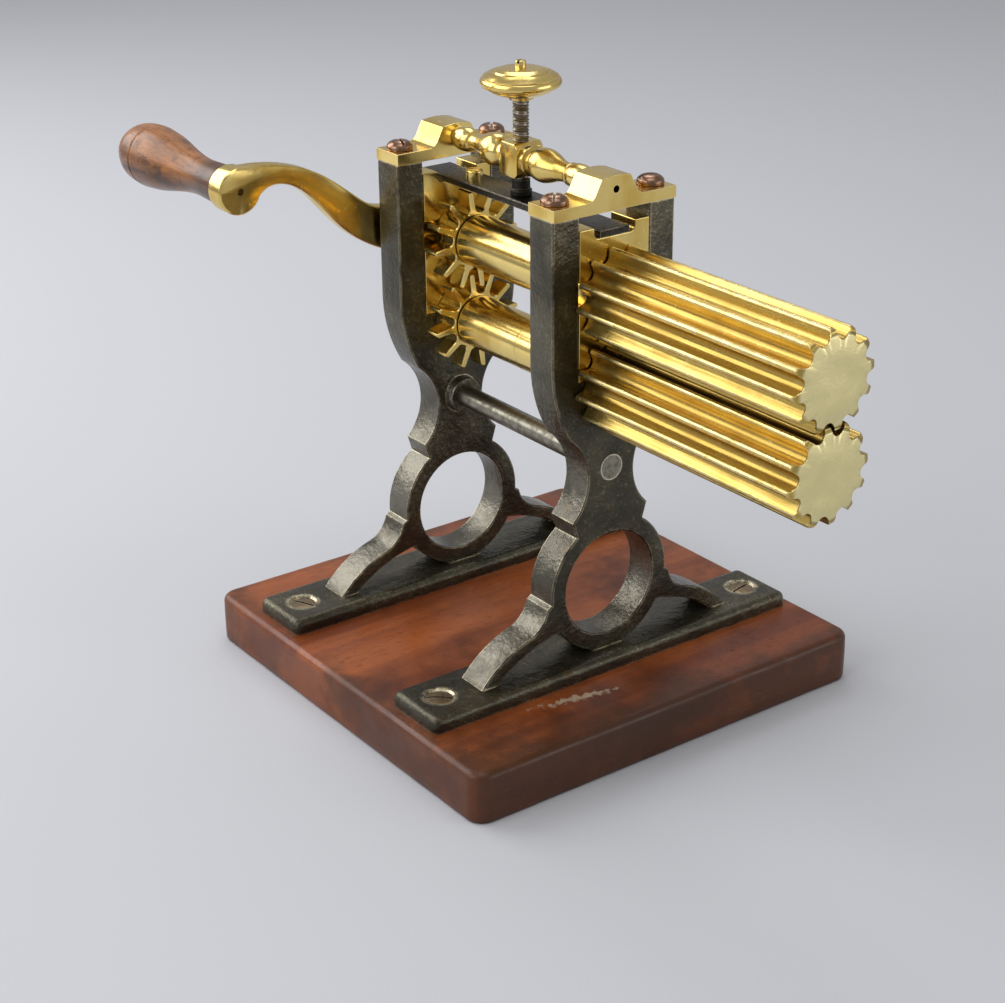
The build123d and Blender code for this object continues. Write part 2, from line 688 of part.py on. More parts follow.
# ---- pressure screw, handwheel and pad --------------------------------------------------
with BuildPart() as pressure_screw:
    with BuildSketch(Plane.XY.offset(screw_tip_z)):
        with Locations((FRAME_MID_X, 0)):
            Circle(SCREW_R)
    extrude(amount=wheel_top_z - SCREW_TOP_GAP - screw_tip_z)
    chamfer(pressure_screw.faces().sort_by(Axis.Z)[0].edges(), SCREW_TIP_EDGE)


def wheel_point(out, up):
    """A point of the wheel's section, as shares of its radius and its height."""
    return (FRAME_MID_X + out * WHEEL_R, wheel_z + up * WHEEL_H)


with BuildPart() as handwheel:
    with BuildSketch(Plane.XZ):
        with BuildLine():
            hub_edge = wheel_point(WHEEL_HUB_R / WHEEL_R, 0.07)
            bowl_top = wheel_point(0.824, 0.325)
            rim_low = wheel_point(0.878, 0.36)
            rim_high = wheel_point(0.96, 0.658)
            groove = wheel_point(0.926, 0.675)
            crown_foot = wheel_point(0.932, 0.72)
            crown_top = wheel_point(0.216, 1)
            Polyline(wheel_point(0, 0), wheel_point(0.311, 0), hub_edge)
            Spline(hub_edge, wheel_point(0.581, 0.167), bowl_top, tangents=((1, 0.35), (0.5, 1)))
            Line(bowl_top, rim_low)
            ThreePointArc(rim_low, wheel_point(1, 0.526), rim_high)
            Polyline(rim_high, groove, crown_foot)
            Spline(crown_foot, wheel_point(0.642, 0.912), crown_top, tangents=((-1, 1), (-1, 0.1)))
            Polyline(crown_top, wheel_point(0, 1), wheel_point(0, 0))
        make_face()
    revolve(axis=Axis((FRAME_MID_X, 0, 0), (0, 0, 1)))
    with BuildSketch(Plane.XY.offset(wheel_z)):
        with Locations((FRAME_MID_X, 0)):
            Circle(SCREW_R)
    extrude(amount=WHEEL_H - SCREW_TOP_GAP, mode=Mode.SUBTRACT)
    with BuildSketch(Plane.XY.offset(wheel_z)):
        with Locations((FRAME_MID_X, 0)):
            Circle(NUB_PIN_R)
    extrude(amount=WHEEL_H, mode=Mode.SUBTRACT)

with BuildPart() as wheel_nub:
    with BuildSketch(Plane.XY.offset(wheel_top_z)):
        with Locations((FRAME_MID_X, 0)):
            Circle(NUB_R)
    extrude(amount=NUB_H)
    fillet(wheel_nub.faces().sort_by(Axis.Z)[-1].edges(), NUB_EDGE_R)
    with BuildSketch(Plane.XY.offset(wheel_top_z)):
        with Locations((FRAME_MID_X, 0)):
            Circle(NUB_PIN_R)
    extrude(amount=-SCREW_TOP_GAP)
    with BuildSketch(Plane.XY.offset(wheel_top_z + NUB_H)):
        with Locations((FRAME_MID_X, 0)):
            Rectangle(2 * NUB_R, NUB_SLOT_W, rotation=NUB_TURN)
    extrude(amount=-SLOT_DEPTH, mode=Mode.SUBTRACT)

with BuildPart() as pressure_pad:
    with BuildSketch(Plane.XY.offset(pad_bottom_z)):
        with Locations((FRAME_MID_X, 0)):
            Circle(PAD_R)
    extrude(amount=PAD_H)
    fillet(pressure_pad.faces().sort_by(Axis.Z)[-1].edges(), PAD_EDGE_R)
    with BuildSketch(Plane.XY.offset(screw_tip_z - RUN_FIT)):
        with Locations((FRAME_MID_X, 0)):
            Circle(SCREW_R + RUN_FIT)
    extrude(amount=PAD_H, mode=Mode.SUBTRACT)

# ---- stay rod ---------------------------------------------------------------------------
with BuildPart() as stay_rod:
    stay_start_x = rear_face_x + STAY_BOSS_H
    stay_end_x = front_back_x - STAY_BOSS_H
    with BuildSketch(Plane.YZ.offset(stay_start_x)):
        with Locations((0, STAY_Z)):
            Circle(STAY_R)
    extrude(amount=stay_end_x - stay_start_x)
    with BuildSketch(Plane.YZ.offset(rear_back_x)):
        with Locations((0, STAY_Z)):
            Circle(STAY_TENON_R)
    extrude(amount=front_face_x - rear_back_x)
    for outer_x, outward in ((rear_back_x, -1), (front_face_x, 1)):
        with Locations((outer_x - outward * STAY_RIVET_H / 2, 0, STAY_Z)):
            Cone(STAY_TENON_R, STAY_RIVET_R, STAY_RIVET_H, rotation=(0, outward * 90, 0))

# ---- foot screws ------------------------------------------------------------------------
head_h = FOOT_SCREW_HEAD_R - FOOT_SCREW_R
head_top_z = foot_top_z - FOOT_SCREW_SINK
with BuildPart() as foot_screws:
    with Locations(*[(x, y, head_top_z - head_h / 2) for x, y in board_screw_places()]):
        Cone(FOOT_SCREW_R, FOOT_SCREW_HEAD_R, head_h)
    with BuildSketch(Plane.XY.offset(head_top_z - head_h)):
        with Locations(*board_screw_places()):
            Circle(FOOT_SCREW_R)
    extrude(amount=-(FOOT_SCREW_LEN - head_h - FOOT_SCREW_SINK - SCREW_TOP_GAP))
    with BuildSketch(Plane.XY.offset(head_top_z)):
        for place, turn in zip(board_screw_places(), (25, 160, 50, 100)):
            with Locations(place):
                Rectangle(2 * FOOT_SCREW_HEAD_R, SLOT_W, rotation=turn)
    extrude(amount=-SLOT_DEPTH, mode=Mode.SUBTRACT)

# ---- crank ------------------------------------------------------------------------------
boss_back_x = arm_back_x - ARM_BOSS_EDGE
hub_back_x = arm_face_x - ARM_HUB_T
arm_angle = atan2(CRANK_RISE, CRANK_Y)
arm_len = sqrt(CRANK_Y**2 + CRANK_RISE**2)


def arm_point(along, above):
    """A point of the swan-necked arm: its share of the throw, and its height above the line."""
    return (
        along * CRANK_Y + above * sin(arm_angle) * arm_len,
        upper_z + along * CRANK_RISE - above * cos(arm_angle) * arm_len,
    )


arm_top_edge = [
    arm_point(along, above)
    for along, above in ((1.019, 0.096), (0.842, 0.136), (0.615, 0.122), (0.388, 0.045), (0.096, 0.079))
]
arm_low_edge = [
    arm_point(along, above)
    for along, above in (
        (0.021, -0.121), (0.252, -0.143), (0.487, -0.072), (0.609, -0.001), (0.799, 0.061), (0.911, -0.038)
    )
]
with BuildPart() as crank_arm:
    with BuildSketch(Plane.YZ.offset(arm_face_x)):
        with BuildLine():
            Spline(*arm_top_edge, tangents=((1, 0), (1, -0.05)))
            Line(arm_top_edge[-1], arm_low_edge[0])
            Spline(*arm_low_edge, tangents=((-1, 0.02), (-0.5, -1)))
            Line(arm_low_edge[-1], arm_top_edge[0])
        make_face()
    extrude(amount=-ARM_T)
    with BuildSketch(Plane.YZ.offset(arm_face_x)):
        with Locations((CRANK_Y, crank_z)):
            Circle(ARM_BOSS_R)
    extrude(amount=-(ARM_T + ARM_BOSS_EDGE))
    with BuildSketch(Plane.YZ.offset(arm_face_x)):
        with Locations((0, upper_z)):
            Circle(ARM_HUB_R)
    extrude(amount=-ARM_HUB_T)
    chamfer(crank_arm.faces().sort_by(Axis.X)[-1].edges(), ARM_CHAMFER)
    with BuildSketch(Plane.YZ.offset(arm_face_x)):
        with Locations((0, upper_z)):
            Rectangle(2 * SQUARE_HALF, 2 * SQUARE_HALF)
    extrude(amount=-ARM_HUB_T, mode=Mode.SUBTRACT)
    with BuildSketch(Plane.YZ.offset(boss_back_x)):
        with Locations((CRANK_Y, crank_z)):
            Circle(SPINDLE_R)
    extrude(amount=SPINDLE_SOCKET, mode=Mode.SUBTRACT)

with BuildPart() as crank_nut:
    with BuildSketch(Plane.YZ.offset(hub_back_x)):
        with Locations((0, upper_z)):
            RegularPolygon(NUT_AF / 2, 6, major_radius=False)
            Circle(SHAFT_THREAD_R, mode=Mode.SUBTRACT)
    extrude(amount=-NUT_H)
    chamfer(crank_nut.faces().sort_by(Axis.X)[0].outer_wire().edges(), ARM_CHAMFER)


# ---- handle -----------------------------------------------------------------------------
with BuildPart() as handle_grip:
    with BuildSketch(Plane.XY.offset(crank_z)):
        with BuildLine():
            bore_y = CRANK_Y + SPINDLE_R + SPINDLE_FIT
            head_y = CRANK_Y + SPINDLE_HEAD_R + SPINDLE_FIT
            Line((grip_start_x, bore_y), (grip_start_x, CRANK_Y + GRIP_START_R))
            Spline(
                (grip_start_x, CRANK_Y + GRIP_START_R),
                (grip_start_x - 0.25 * GRIP_LEN, CRANK_Y + GRIP_NECK_R),
                (grip_start_x - 0.50 * GRIP_LEN, CRANK_Y + 0.77 * GRIP_MAX_R),
                (grip_start_x - 0.77 * GRIP_LEN, CRANK_Y + GRIP_MAX_R),
                (grip_end_x + GRIP_END_ROUND, CRANK_Y + 0.8 * GRIP_MAX_R),
                (grip_end_x, CRANK_Y + SPINDLE_HEAD_R + GRIP_END_RIM),
                tangents=((-1, -0.1), (-0.25, -1)),
            )
            Polyline(
                (grip_end_x, CRANK_Y + SPINDLE_HEAD_R + GRIP_END_RIM),
                (grip_end_x, head_y),
                (grip_end_x + SPINDLE_HEAD_T + 2 * FACE_GAP, head_y),
                (grip_end_x + SPINDLE_HEAD_T + 2 * FACE_GAP, bore_y),
                (grip_start_x, bore_y),
            )
        make_face()
    revolve(axis=Axis((0, CRANK_Y, crank_z), (1, 0, 0)))

with BuildPart() as handle_spindle:
    spindle_head_x = grip_end_x + FACE_GAP
    with BuildSketch(Plane.YZ.offset(spindle_head_x)):
        with Locations((CRANK_Y, crank_z)):
            Circle(SPINDLE_R)
    extrude(amount=boss_back_x + SPINDLE_SOCKET - spindle_head_x)
    with BuildSketch(Plane.YZ.offset(spindle_head_x)):
        with Locations((CRANK_Y, crank_z)):
            Circle(SPINDLE_HEAD_R)
    extrude(amount=SPINDLE_HEAD_T)
    with BuildSketch(Plane.YZ.offset(spindle_head_x)):
        with Locations((CRANK_Y, crank_z)):
            Rectangle(2 * SPINDLE_HEAD_R, SLOT_W)
    extrude(amount=SLOT_DEPTH, mode=Mode.SUBTRACT)


# ---- parts --------------------------------------------------------------------------------
pieces = {
    "base_board": base_board,
    "rear_frame": rear_frame,
    "front_frame": front_frame,
    "foot_screws": foot_screws,
    "stay_rod": stay_rod,
    "rear_middle_block": rear_middle_block,
    "front_middle_block": front_middle_block,
    "rear_saddle": rear_saddle,
    "front_saddle": front_saddle,
    "leaf_spring": leaf_spring,
    "spring_screw": spring_screw,
    "upper_roller": upper_roller,
    "lower_roller": lower_roller,
    "upper_gear": upper_gear,
    "lower_gear": lower_gear,
    "upper_gear_pin": upper_gear_pin,
    "lower_gear_pin": lower_gear_pin,
    "rear_cap": rear_cap,
    "front_cap": front_cap,
    "cap_screws": cap_screws,
    "cross_bar": cross_bar,
    "pressure_screw": pressure_screw,
    "handwheel": handwheel,
    "wheel_nub": wheel_nub,
    "pressure_pad": pressure_pad,
    "crank_arm": crank_arm,
    "crank_nut": crank_nut,
    "handle_spindle": handle_spindle,
    "handle_grip": handle_grip,
}
os.makedirs("parts", exist_ok=True)
for node, piece in pieces.items():
    piece.part.label = node
    export_step(piece.part, f"parts/{node}.step")
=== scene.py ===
import bmesh
import bpy
from math import atan2, cos, hypot, pi, radians, sin, sqrt, tau
from mathutils import Matrix, Vector, noise


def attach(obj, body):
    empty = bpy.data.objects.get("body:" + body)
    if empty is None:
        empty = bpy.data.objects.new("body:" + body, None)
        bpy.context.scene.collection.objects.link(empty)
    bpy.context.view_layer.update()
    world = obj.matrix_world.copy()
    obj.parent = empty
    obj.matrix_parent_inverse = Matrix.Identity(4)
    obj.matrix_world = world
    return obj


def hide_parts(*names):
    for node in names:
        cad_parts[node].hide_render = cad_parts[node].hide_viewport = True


bl_info = {
    "name": "Paper crimper",
    "version": (1, 0, 0),
    "blender": (4, 5, 0),
    "location": "View3D > Sidebar > Crimper",
    "description": "Dresses a hand-cranked paper crimper: cast frames, fluted rollers, board and fittings",
    "category": "Add Mesh",
}

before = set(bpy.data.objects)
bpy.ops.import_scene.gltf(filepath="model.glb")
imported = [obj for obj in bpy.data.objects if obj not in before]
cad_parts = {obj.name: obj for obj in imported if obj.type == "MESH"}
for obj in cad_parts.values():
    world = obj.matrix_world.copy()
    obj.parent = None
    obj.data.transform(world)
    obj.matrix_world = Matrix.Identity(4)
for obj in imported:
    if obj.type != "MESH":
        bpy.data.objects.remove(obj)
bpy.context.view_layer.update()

MM = 0.001

# Places on the machine, in millimetres.
FRAME_MID_X = -3.6
UPPER_Z = 164.7
LOWER_Z = 132.6
STAY_Z = 99.0
BAR_Z = 202.4
WHEEL_Z = 223.8
SCREW_X = 47.2
CAP_SCREW_Y = 21.2
CAP_SCREW_Z = 199.3
FOOT_SCREW_Y = 73.0
FOOT_SCREW_Z = 25.15
CRANK_Y = -84.5
CRANK_Z = 191.5
GRIP_START_X = -68.4
GRIP_LENGTH = 73.0

# The board, in millimetres.
BOARD_HALF = 90.0
BOARD_CORNER = 7.0
BOARD_HEIGHT = 20.0
BOARD_ROUNDING = 3.0

# The rollers and gears, in millimetres along X. PAST_TIPS is a radius that leaves the teeth whole,
# and a tail is the back end of a shaft, as (x, radius) points.
TEETH = 12
GEAR_BACK_X = -43.8
GEAR_FACE_X = -31.5
FLUTES_START_X = 51.0
FLUTES_END_X = 160.0
PAST_TIPS = 18.2
UPPER_TAIL = [(-74.4, 3.4), (-73.8, 4.0), (-60.0, 4.0), (-60.0, 7.95)]
LOWER_TAIL = [(-57.8, 7.4), (-57.2, 8.0)]
LOWER_SEAM = [(4.7, 10.0), (4.85, 9.8), (5.2, 9.8), (5.35, 10.0)]

# The camera's place in metres, its turns in degrees and its lens in millimetres; then the point
# that the lamps aim at, in metres.
CAMERA_PLACE = (0.5792, -0.43557, 0.39127)
CAMERA_YAW = 143.84
CAMERA_PITCH = 24.07
CAMERA_ROLL = 0.50
CAMERA_LENS = 73.53
LAMP_AIM = (0.0, 0.0, 0.12)

# The colour of rubbed brass, also the colour of the painted edge highlight on brass, and the angle in
# degrees past which an eased edge is shaded sharp.
PALE_BRASS = (0.95, 0.82, 0.46, 1.0)
FINE_ANGLE = 19.0


# ---- shader building blocks --------------------------------------------------------------
def put(tree, kind, values=None, **settings):
    """Adds a node, sets its settings, then fills or links its inputs by name or index."""
    made = tree.nodes.new(kind)
    for key, value in settings.items():
        setattr(made, key, value)
    for key, value in (values or {}).items():
        socket = made.inputs[key]
        if isinstance(value, bpy.types.NodeSocket):
            tree.links.new(value, socket)
        else:
            socket.default_value = value
    return made


def shader_group(name, inputs, outputs, build):
    """A shader node group with named sockets, made once and shared by the materials."""
    tree = bpy.data.node_groups.get(name)
    if tree:
        return tree
    tree = bpy.data.node_groups.new(name, "ShaderNodeTree")
    for label, kind, default in inputs:
        socket = tree.interface.new_socket(label, in_out="INPUT", socket_type=kind)
        if default is not None:
            socket.default_value = default
    for label, kind in outputs:
        tree.interface.new_socket(label, in_out="OUTPUT", socket_type=kind)
    source = tree.nodes.new("NodeGroupInput")
    result = build(tree, source.outputs)
    sink = tree.nodes.new("NodeGroupOutput")
    for label, value in result.items():
        tree.links.new(value, sink.inputs[label])
    return tree


def use_group(tree, group, values):
    """Places a shader node group with its own values and gives its outputs."""
    return put(tree, "ShaderNodeGroup", values, node_tree=group).outputs


def ramp(tree, value, low, high, to_low=0.0, to_high=1.0):
    """The value eased from one range into another."""
    node = put(
        tree,
        "ShaderNodeMapRange",
        {"Value": value, "From Min": low, "From Max": high, "To Min": to_low, "To Max": to_high},
        interpolation_type="SMOOTHSTEP",
    )
    return node.outputs["Result"]


def maths(tree, operation, a, b=0.0):
    return put(tree, "ShaderNodeMath", {0: a, 1: b}, operation=operation).outputs[0]


def times(tree, a, b):
    return maths(tree, "MULTIPLY", a, b)


def plus(tree, a, b):
    return maths(tree, "ADD", a, b)


def less(tree, a, b):
    return maths(tree, "SUBTRACT", a, b)


def vector_maths(tree, operation, a, b=(0.0, 0.0, 0.0)):
    """A number for a length or a dot product, and a vector for the rest."""
    node = put(tree, "ShaderNodeVectorMath", {0: a, 1: b}, operation=operation)
    return node.outputs["Value" if operation in ("LENGTH", "DOT_PRODUCT") else "Vector"]


def split(tree, vector):
    return put(tree, "ShaderNodeSeparateXYZ", {"Vector": vector}).outputs


def combined(tree, **axes):
    return put(tree, "ShaderNodeCombineXYZ", axes).outputs["Vector"]


def mixed(tree, factor, a, b):
    """Colour a, going over to colour b with the factor."""
    node = put(tree, "ShaderNodeMix", {0: factor, 6: a, 7: b}, data_type="RGBA")
    return node.outputs[2]


def paint(colour, red=1.0, green=1.0, blue=1.0):
    """The colour with each channel scaled and an alpha of one."""
    return (colour[0] * red, colour[1] * green, colour[2] * blue, 1.0)


def noise_at(tree, coords, scale, detail=4.0, rough=0.55, distortion=0.0):
    values = {"Vector": coords, "Scale": scale, "Detail": detail, "Roughness": rough}
    return put(tree, "ShaderNodeTexNoise", {**values, "Distortion": distortion}).outputs["Fac"]


def edge_wear_and_glint_group():
    """Mask of the sharp outer edges, broken up by noise."""

    def build(tree, given):
        rounded = put(tree, "ShaderNodeBevel", {"Radius": given["Width"]}, samples=6)
        flat = put(tree, "ShaderNodeNewGeometry")
        alike = vector_maths(tree, "DOT_PRODUCT", rounded.outputs["Normal"], flat.outputs["Normal"])
        patchy = noise_at(tree, given["Coordinates"], given["Break-up scale"], 3.0)
        broken = times(tree, less(tree, 1.0, alike), ramp(tree, patchy, 0.30, 0.62, 0.15, 2.0))
        return {"Mask": ramp(tree, broken, 0.015, given["Softness"])}

    return shader_group(
        "Edge wear",
        [
            ("Coordinates", "NodeSocketVector", None),
            ("Width", "NodeSocketFloat", 0.001),
            ("Break-up scale", "NodeSocketFloat", 120.0),
            ("Softness", "NodeSocketFloat", 0.16),
        ],
        [("Mask", "NodeSocketFloat")],
        build,
    )


def grime_group():
    """Mask of the recesses that polishing doesn't reach."""

    def build(tree, given):
        open_sky = put(
            tree, "ShaderNodeAmbientOcclusion", {"Distance": given["Reach"]}, samples=8, only_local=True
        )
        shade_mask = less(tree, 1.0, open_sky.outputs["AO"])
        patchy = noise_at(tree, given["Coordinates"], given["Break-up scale"], 4.0)
        broken = times(tree, shade_mask, ramp(tree, patchy, 0.25, 0.70, 0.55, 1.35))
        return {"Mask": ramp(tree, broken, given["Start"], given["Full"])}

    return shader_group(
        "Recess grime",
        [
            ("Coordinates", "NodeSocketVector", None),
            ("Reach", "NodeSocketFloat", 0.006),
            ("Break-up scale", "NodeSocketFloat", 90.0),
            ("Start", "NodeSocketFloat", 0.25),
            ("Full", "NodeSocketFloat", 0.85),
        ],
        [("Mask", "NodeSocketFloat")],
        build,
    )


def scratches_group():
    """Thin scratches that run with the stretch of the coordinates."""

    def build(tree, given):
        stretched = vector_maths(tree, "MULTIPLY", given["Coordinates"], given["Stretch"])
        fine = noise_at(tree, stretched, given["Scale"], 2.0, 0.6, 0.4)
        return {"Mask": ramp(tree, fine, given["Threshold"], 0.78)}

    return shader_group(
        "Scratches",
        [
            ("Coordinates", "NodeSocketVector", None),
            ("Stretch", "NodeSocketVector", (1.0, 1.0, 1.0)),
            ("Scale", "NodeSocketFloat", 60.0),
            ("Threshold", "NodeSocketFloat", 0.64),
        ],
        [("Mask", "NodeSocketFloat")],
        build,
    )


def axis_group():
    """Distance from a line along X at a height over the middle of the board, and the place along it."""

    def build(tree, given):
        parts = split(tree, given["Coordinates"])
        flat = combined(tree, X=parts["Y"], Y=less(tree, parts["Z"], given["Axis height"]))
        return {"Distance": vector_maths(tree, "LENGTH", flat), "Along": parts["X"]}

    return shader_group(
        "Distance from an axis",
        [("Coordinates", "NodeSocketVector", None), ("Axis height", "NodeSocketFloat", 0.1)],
        [("Distance", "NodeSocketFloat"), ("Along", "NodeSocketFloat")],
        build,
    )


def patch_group():
    """Mask of one long ragged patch on a surface."""

    def build(tree, given):
        offset = vector_maths(tree, "SUBTRACT", given["Coordinates"], given["Centre"])
        turned_to = put(
            tree,
            "ShaderNodeVectorRotate",
            {"Vector": offset, "Angle": given["Turn"]},
            rotation_type="Z_AXIS",
        )
        scaled = vector_maths(tree, "DIVIDE", turned_to.outputs["Vector"], given["Half size"])
        ragged = noise_at(tree, given["Coordinates"], given["Break-up scale"], 5.0, 0.7)
        size = vector_maths(tree, "LENGTH", scaled)
        spread = plus(tree, size, ramp(tree, ragged, 0.25, 0.75, -0.75, 0.75))
        return {"Mask": ramp(tree, spread, 0.95, 0.55)}

    return shader_group(
        "Ragged patch",
        [
            ("Coordinates", "NodeSocketVector", None),
            ("Centre", "NodeSocketVector", (0.0, 0.0, 0.0)),
            ("Half size", "NodeSocketVector", (0.01, 0.01, 0.01)),
            ("Turn", "NodeSocketFloat", 0.0),
            ("Break-up scale", "NodeSocketFloat", 300.0),
        ],
        [("Mask", "NodeSocketFloat")],
        build,
    )


def grain_group():
    """Straight-grained timber: slow colour bands, fine fibres and short dark pores."""

    def build(tree, given):
        along = vector_maths(tree, "MULTIPLY", given["Coordinates"], given["Stretch"])
        bands = noise_at(tree, along, given["Band scale"], 3.0, 0.5, 0.6)
        fibres = noise_at(tree, along, given["Fibre scale"], 5.0, 0.7)
        pores = noise_at(tree, along, given["Pore scale"], 2.0, 0.5)
        return {
            "Bands": ramp(tree, bands, 0.32, 0.68),
            "Fibres": fibres,
            "Pores": ramp(tree, pores, 0.60, 0.72),
        }

    return shader_group(
        "Timber grain",
        [
            ("Coordinates", "NodeSocketVector", None),
            ("Stretch", "NodeSocketVector", (1.0, 1.0, 1.0)),
            ("Band scale", "NodeSocketFloat", 30.0),
            ("Fibre scale", "NodeSocketFloat", 400.0),
            ("Pore scale", "NodeSocketFloat", 900.0),
        ],
        [("Bands", "NodeSocketFloat"), ("Fibres", "NodeSocketFloat"), ("Pores", "NodeSocketFloat")],
        build,
    )


def edge_wear_and_glint(tree, coords, width, break_up, softness):
    """The worn edges of a piece, and on brass the painted edge highlight; the width is in millimetres."""
    values = {"Width": width * MM, "Break-up scale": break_up, "Softness": softness}
    return use_group(tree, edge_wear_and_glint_group(), {"Coordinates": coords, **values})["Mask"]


def scratches(tree, coords, stretch, scale, threshold):
    """The scratches on a piece, longest along the axis with the smallest stretch."""
    values = {"Stretch": stretch, "Scale": scale, "Threshold": threshold}
    return use_group(tree, scratches_group(), {"Coordinates": coords, **values})["Mask"]


def about_axis(tree, coords, height):
    """Distance from the roller or rod at a height in millimetres, and the place along it."""
    return use_group(tree, axis_group(), {"Coordinates": coords, "Axis height": height * MM})


# ---- finishes -----------------------------------------------------------------------------
def new_material(name):
    """A fresh node material and the parts of it that every finish starts from."""
    material = bpy.data.materials.new(name)
    material.use_nodes = True
    tree = material.node_tree
    tree.nodes.clear()
    shader = tree.nodes.new("ShaderNodeBsdfPrincipled")
    sink = tree.nodes.new("ShaderNodeOutputMaterial")
    tree.links.new(shader.outputs["BSDF"], sink.inputs["Surface"])
    coords = tree.nodes.new("ShaderNodeTexCoord").outputs["Object"]
    return material, tree, shader, coords


def finish_shader(tree, shader, base, roughness, height, depth, metallic=None):
    """Links the finish to the shader. The height is a bump of so many millimetres."""
    tree.links.new(base, shader.inputs["Base Color"])
    tree.links.new(roughness, shader.inputs["Roughness"])
    if metallic is not None:
        tree.links.new(metallic, shader.inputs["Metallic"])
    bump = put(tree, "ShaderNodeBump", {"Height": height, "Distance": depth * MM, "Strength": 1.0})
    tree.links.new(bump.outputs["Normal"], shader.inputs["Normal"])


def rubbed_screw_holes(tree, coords):
    """Mask of the ragged bright rims round the screw holes in the feet."""
    parts = split(tree, coords)
    across = maths(tree, "ABSOLUTE", less(tree, parts["X"], FRAME_MID_X * MM))
    along = maths(tree, "ABSOLUTE", parts["Y"])
    from_screw = combined(
        tree, X=less(tree, across, SCREW_X * MM), Y=less(tree, along, FOOT_SCREW_Y * MM)
    )
    rim = ramp(tree, vector_maths(tree, "LENGTH", from_screw), 7.5 * MM, 6.0 * MM)
    patchy = ramp(tree, noise_at(tree, coords, 330.0, 3.0), 0.36, 0.56, 0.1, 0.9)
    on_top = ramp(tree, parts["Z"], 24.0 * MM, 24.5 * MM)
    return times(tree, times(tree, rim, patchy), on_top)


def rubbed_and_lit_rims(tree, coords):
    """Mask of the castings' narrow rims above the feet, strongest low down, where hands go; partly rubbed
    bare iron, partly a painted highlight on the faces turned away from X.
    """
    up = split(tree, coords)["Z"]
    facing = tree.nodes.new("ShaderNodeTexCoord").outputs["Normal"]
    sideways = maths(tree, "ABSOLUTE", split(tree, facing)["X"])
    rims = times(tree, ramp(tree, sideways, 0.55, 0.25), ramp(tree, up, 26.2 * MM, 27.5 * MM))
    return times(tree, rims, ramp(tree, up, 125.0 * MM, 95.0 * MM, 0.25, 1.0))


def black_iron():
    """Sand-cast iron with a worn black finish, bright on its edges."""
    name = "Black iron"
    if name in bpy.data.materials:
        return bpy.data.materials[name]
    material, tree, shader, coords = new_material(name)
    props = bpy.context.scene.crimper_iron
    by_stay = ramp(tree, about_axis(tree, coords, STAY_Z)["Distance"], 6.6 * MM, 8.0 * MM, 0.12, 1.0)
    wear = times(tree, edge_wear_and_glint(tree, coords, 1.3, 150.0, 0.15), by_stay)
    wear = maths(tree, "MAXIMUM", wear, rubbed_screw_holes(tree, coords))
    skin = noise_at(tree, coords, 780.0, 4.0, 0.6)
    pits = noise_at(tree, coords, 260.0, 3.0, 0.5)
    patches = noise_at(tree, coords, 42.0, 5.0, 0.62)
    speckle = ramp(tree, plus(tree, skin, times(tree, patches, 0.35)), 0.72, 0.90)
    # Polish on the rims: partly rubbed bare iron, partly a painted highlight in a lighter colour.
    polish = ramp(tree, patches, 0.42, 0.60, 0.25, 0.85)
    polish = times(tree, rubbed_and_lit_rims(tree, coords), polish)
    olive = paint(props.colour, 1.9, 1.9, 1.7)
    rust = paint(props.colour, 1.7, 1.25, 0.8)
    base = mixed(tree, ramp(tree, patches, 0.38, 0.66), paint(props.colour), olive)
    base = mixed(tree, ramp(tree, pits, 0.56, 0.72, 0.0, 0.7), base, rust)
    base = mixed(tree, times(tree, speckle, 0.50), base, (0.26, 0.235, 0.185, 1.0))
    # Painted highlight and rubbed iron: the rims made lighter.
    base = mixed(tree, polish, base, (0.190, 0.176, 0.142, 1.0))
    base = mixed(tree, wear, base, paint(props.worn))
    roughness = ramp(tree, patches, 0.35, 0.70, 0.18, 0.30)
    roughness = less(tree, roughness, times(tree, polish, 0.03))
    bare = ramp(tree, wear, 0.0, 1.0, 0.80, 0.95)
    metallic = maths(tree, "MAXIMUM", times(tree, speckle, 0.9), bare)
    height = plus(tree, skin, times(tree, pits, 1.3))
    finish_shader(tree, shader, base, roughness, height, 0.30, metallic)
    shader.inputs["Specular IOR Level"].default_value = 0.6
    return material


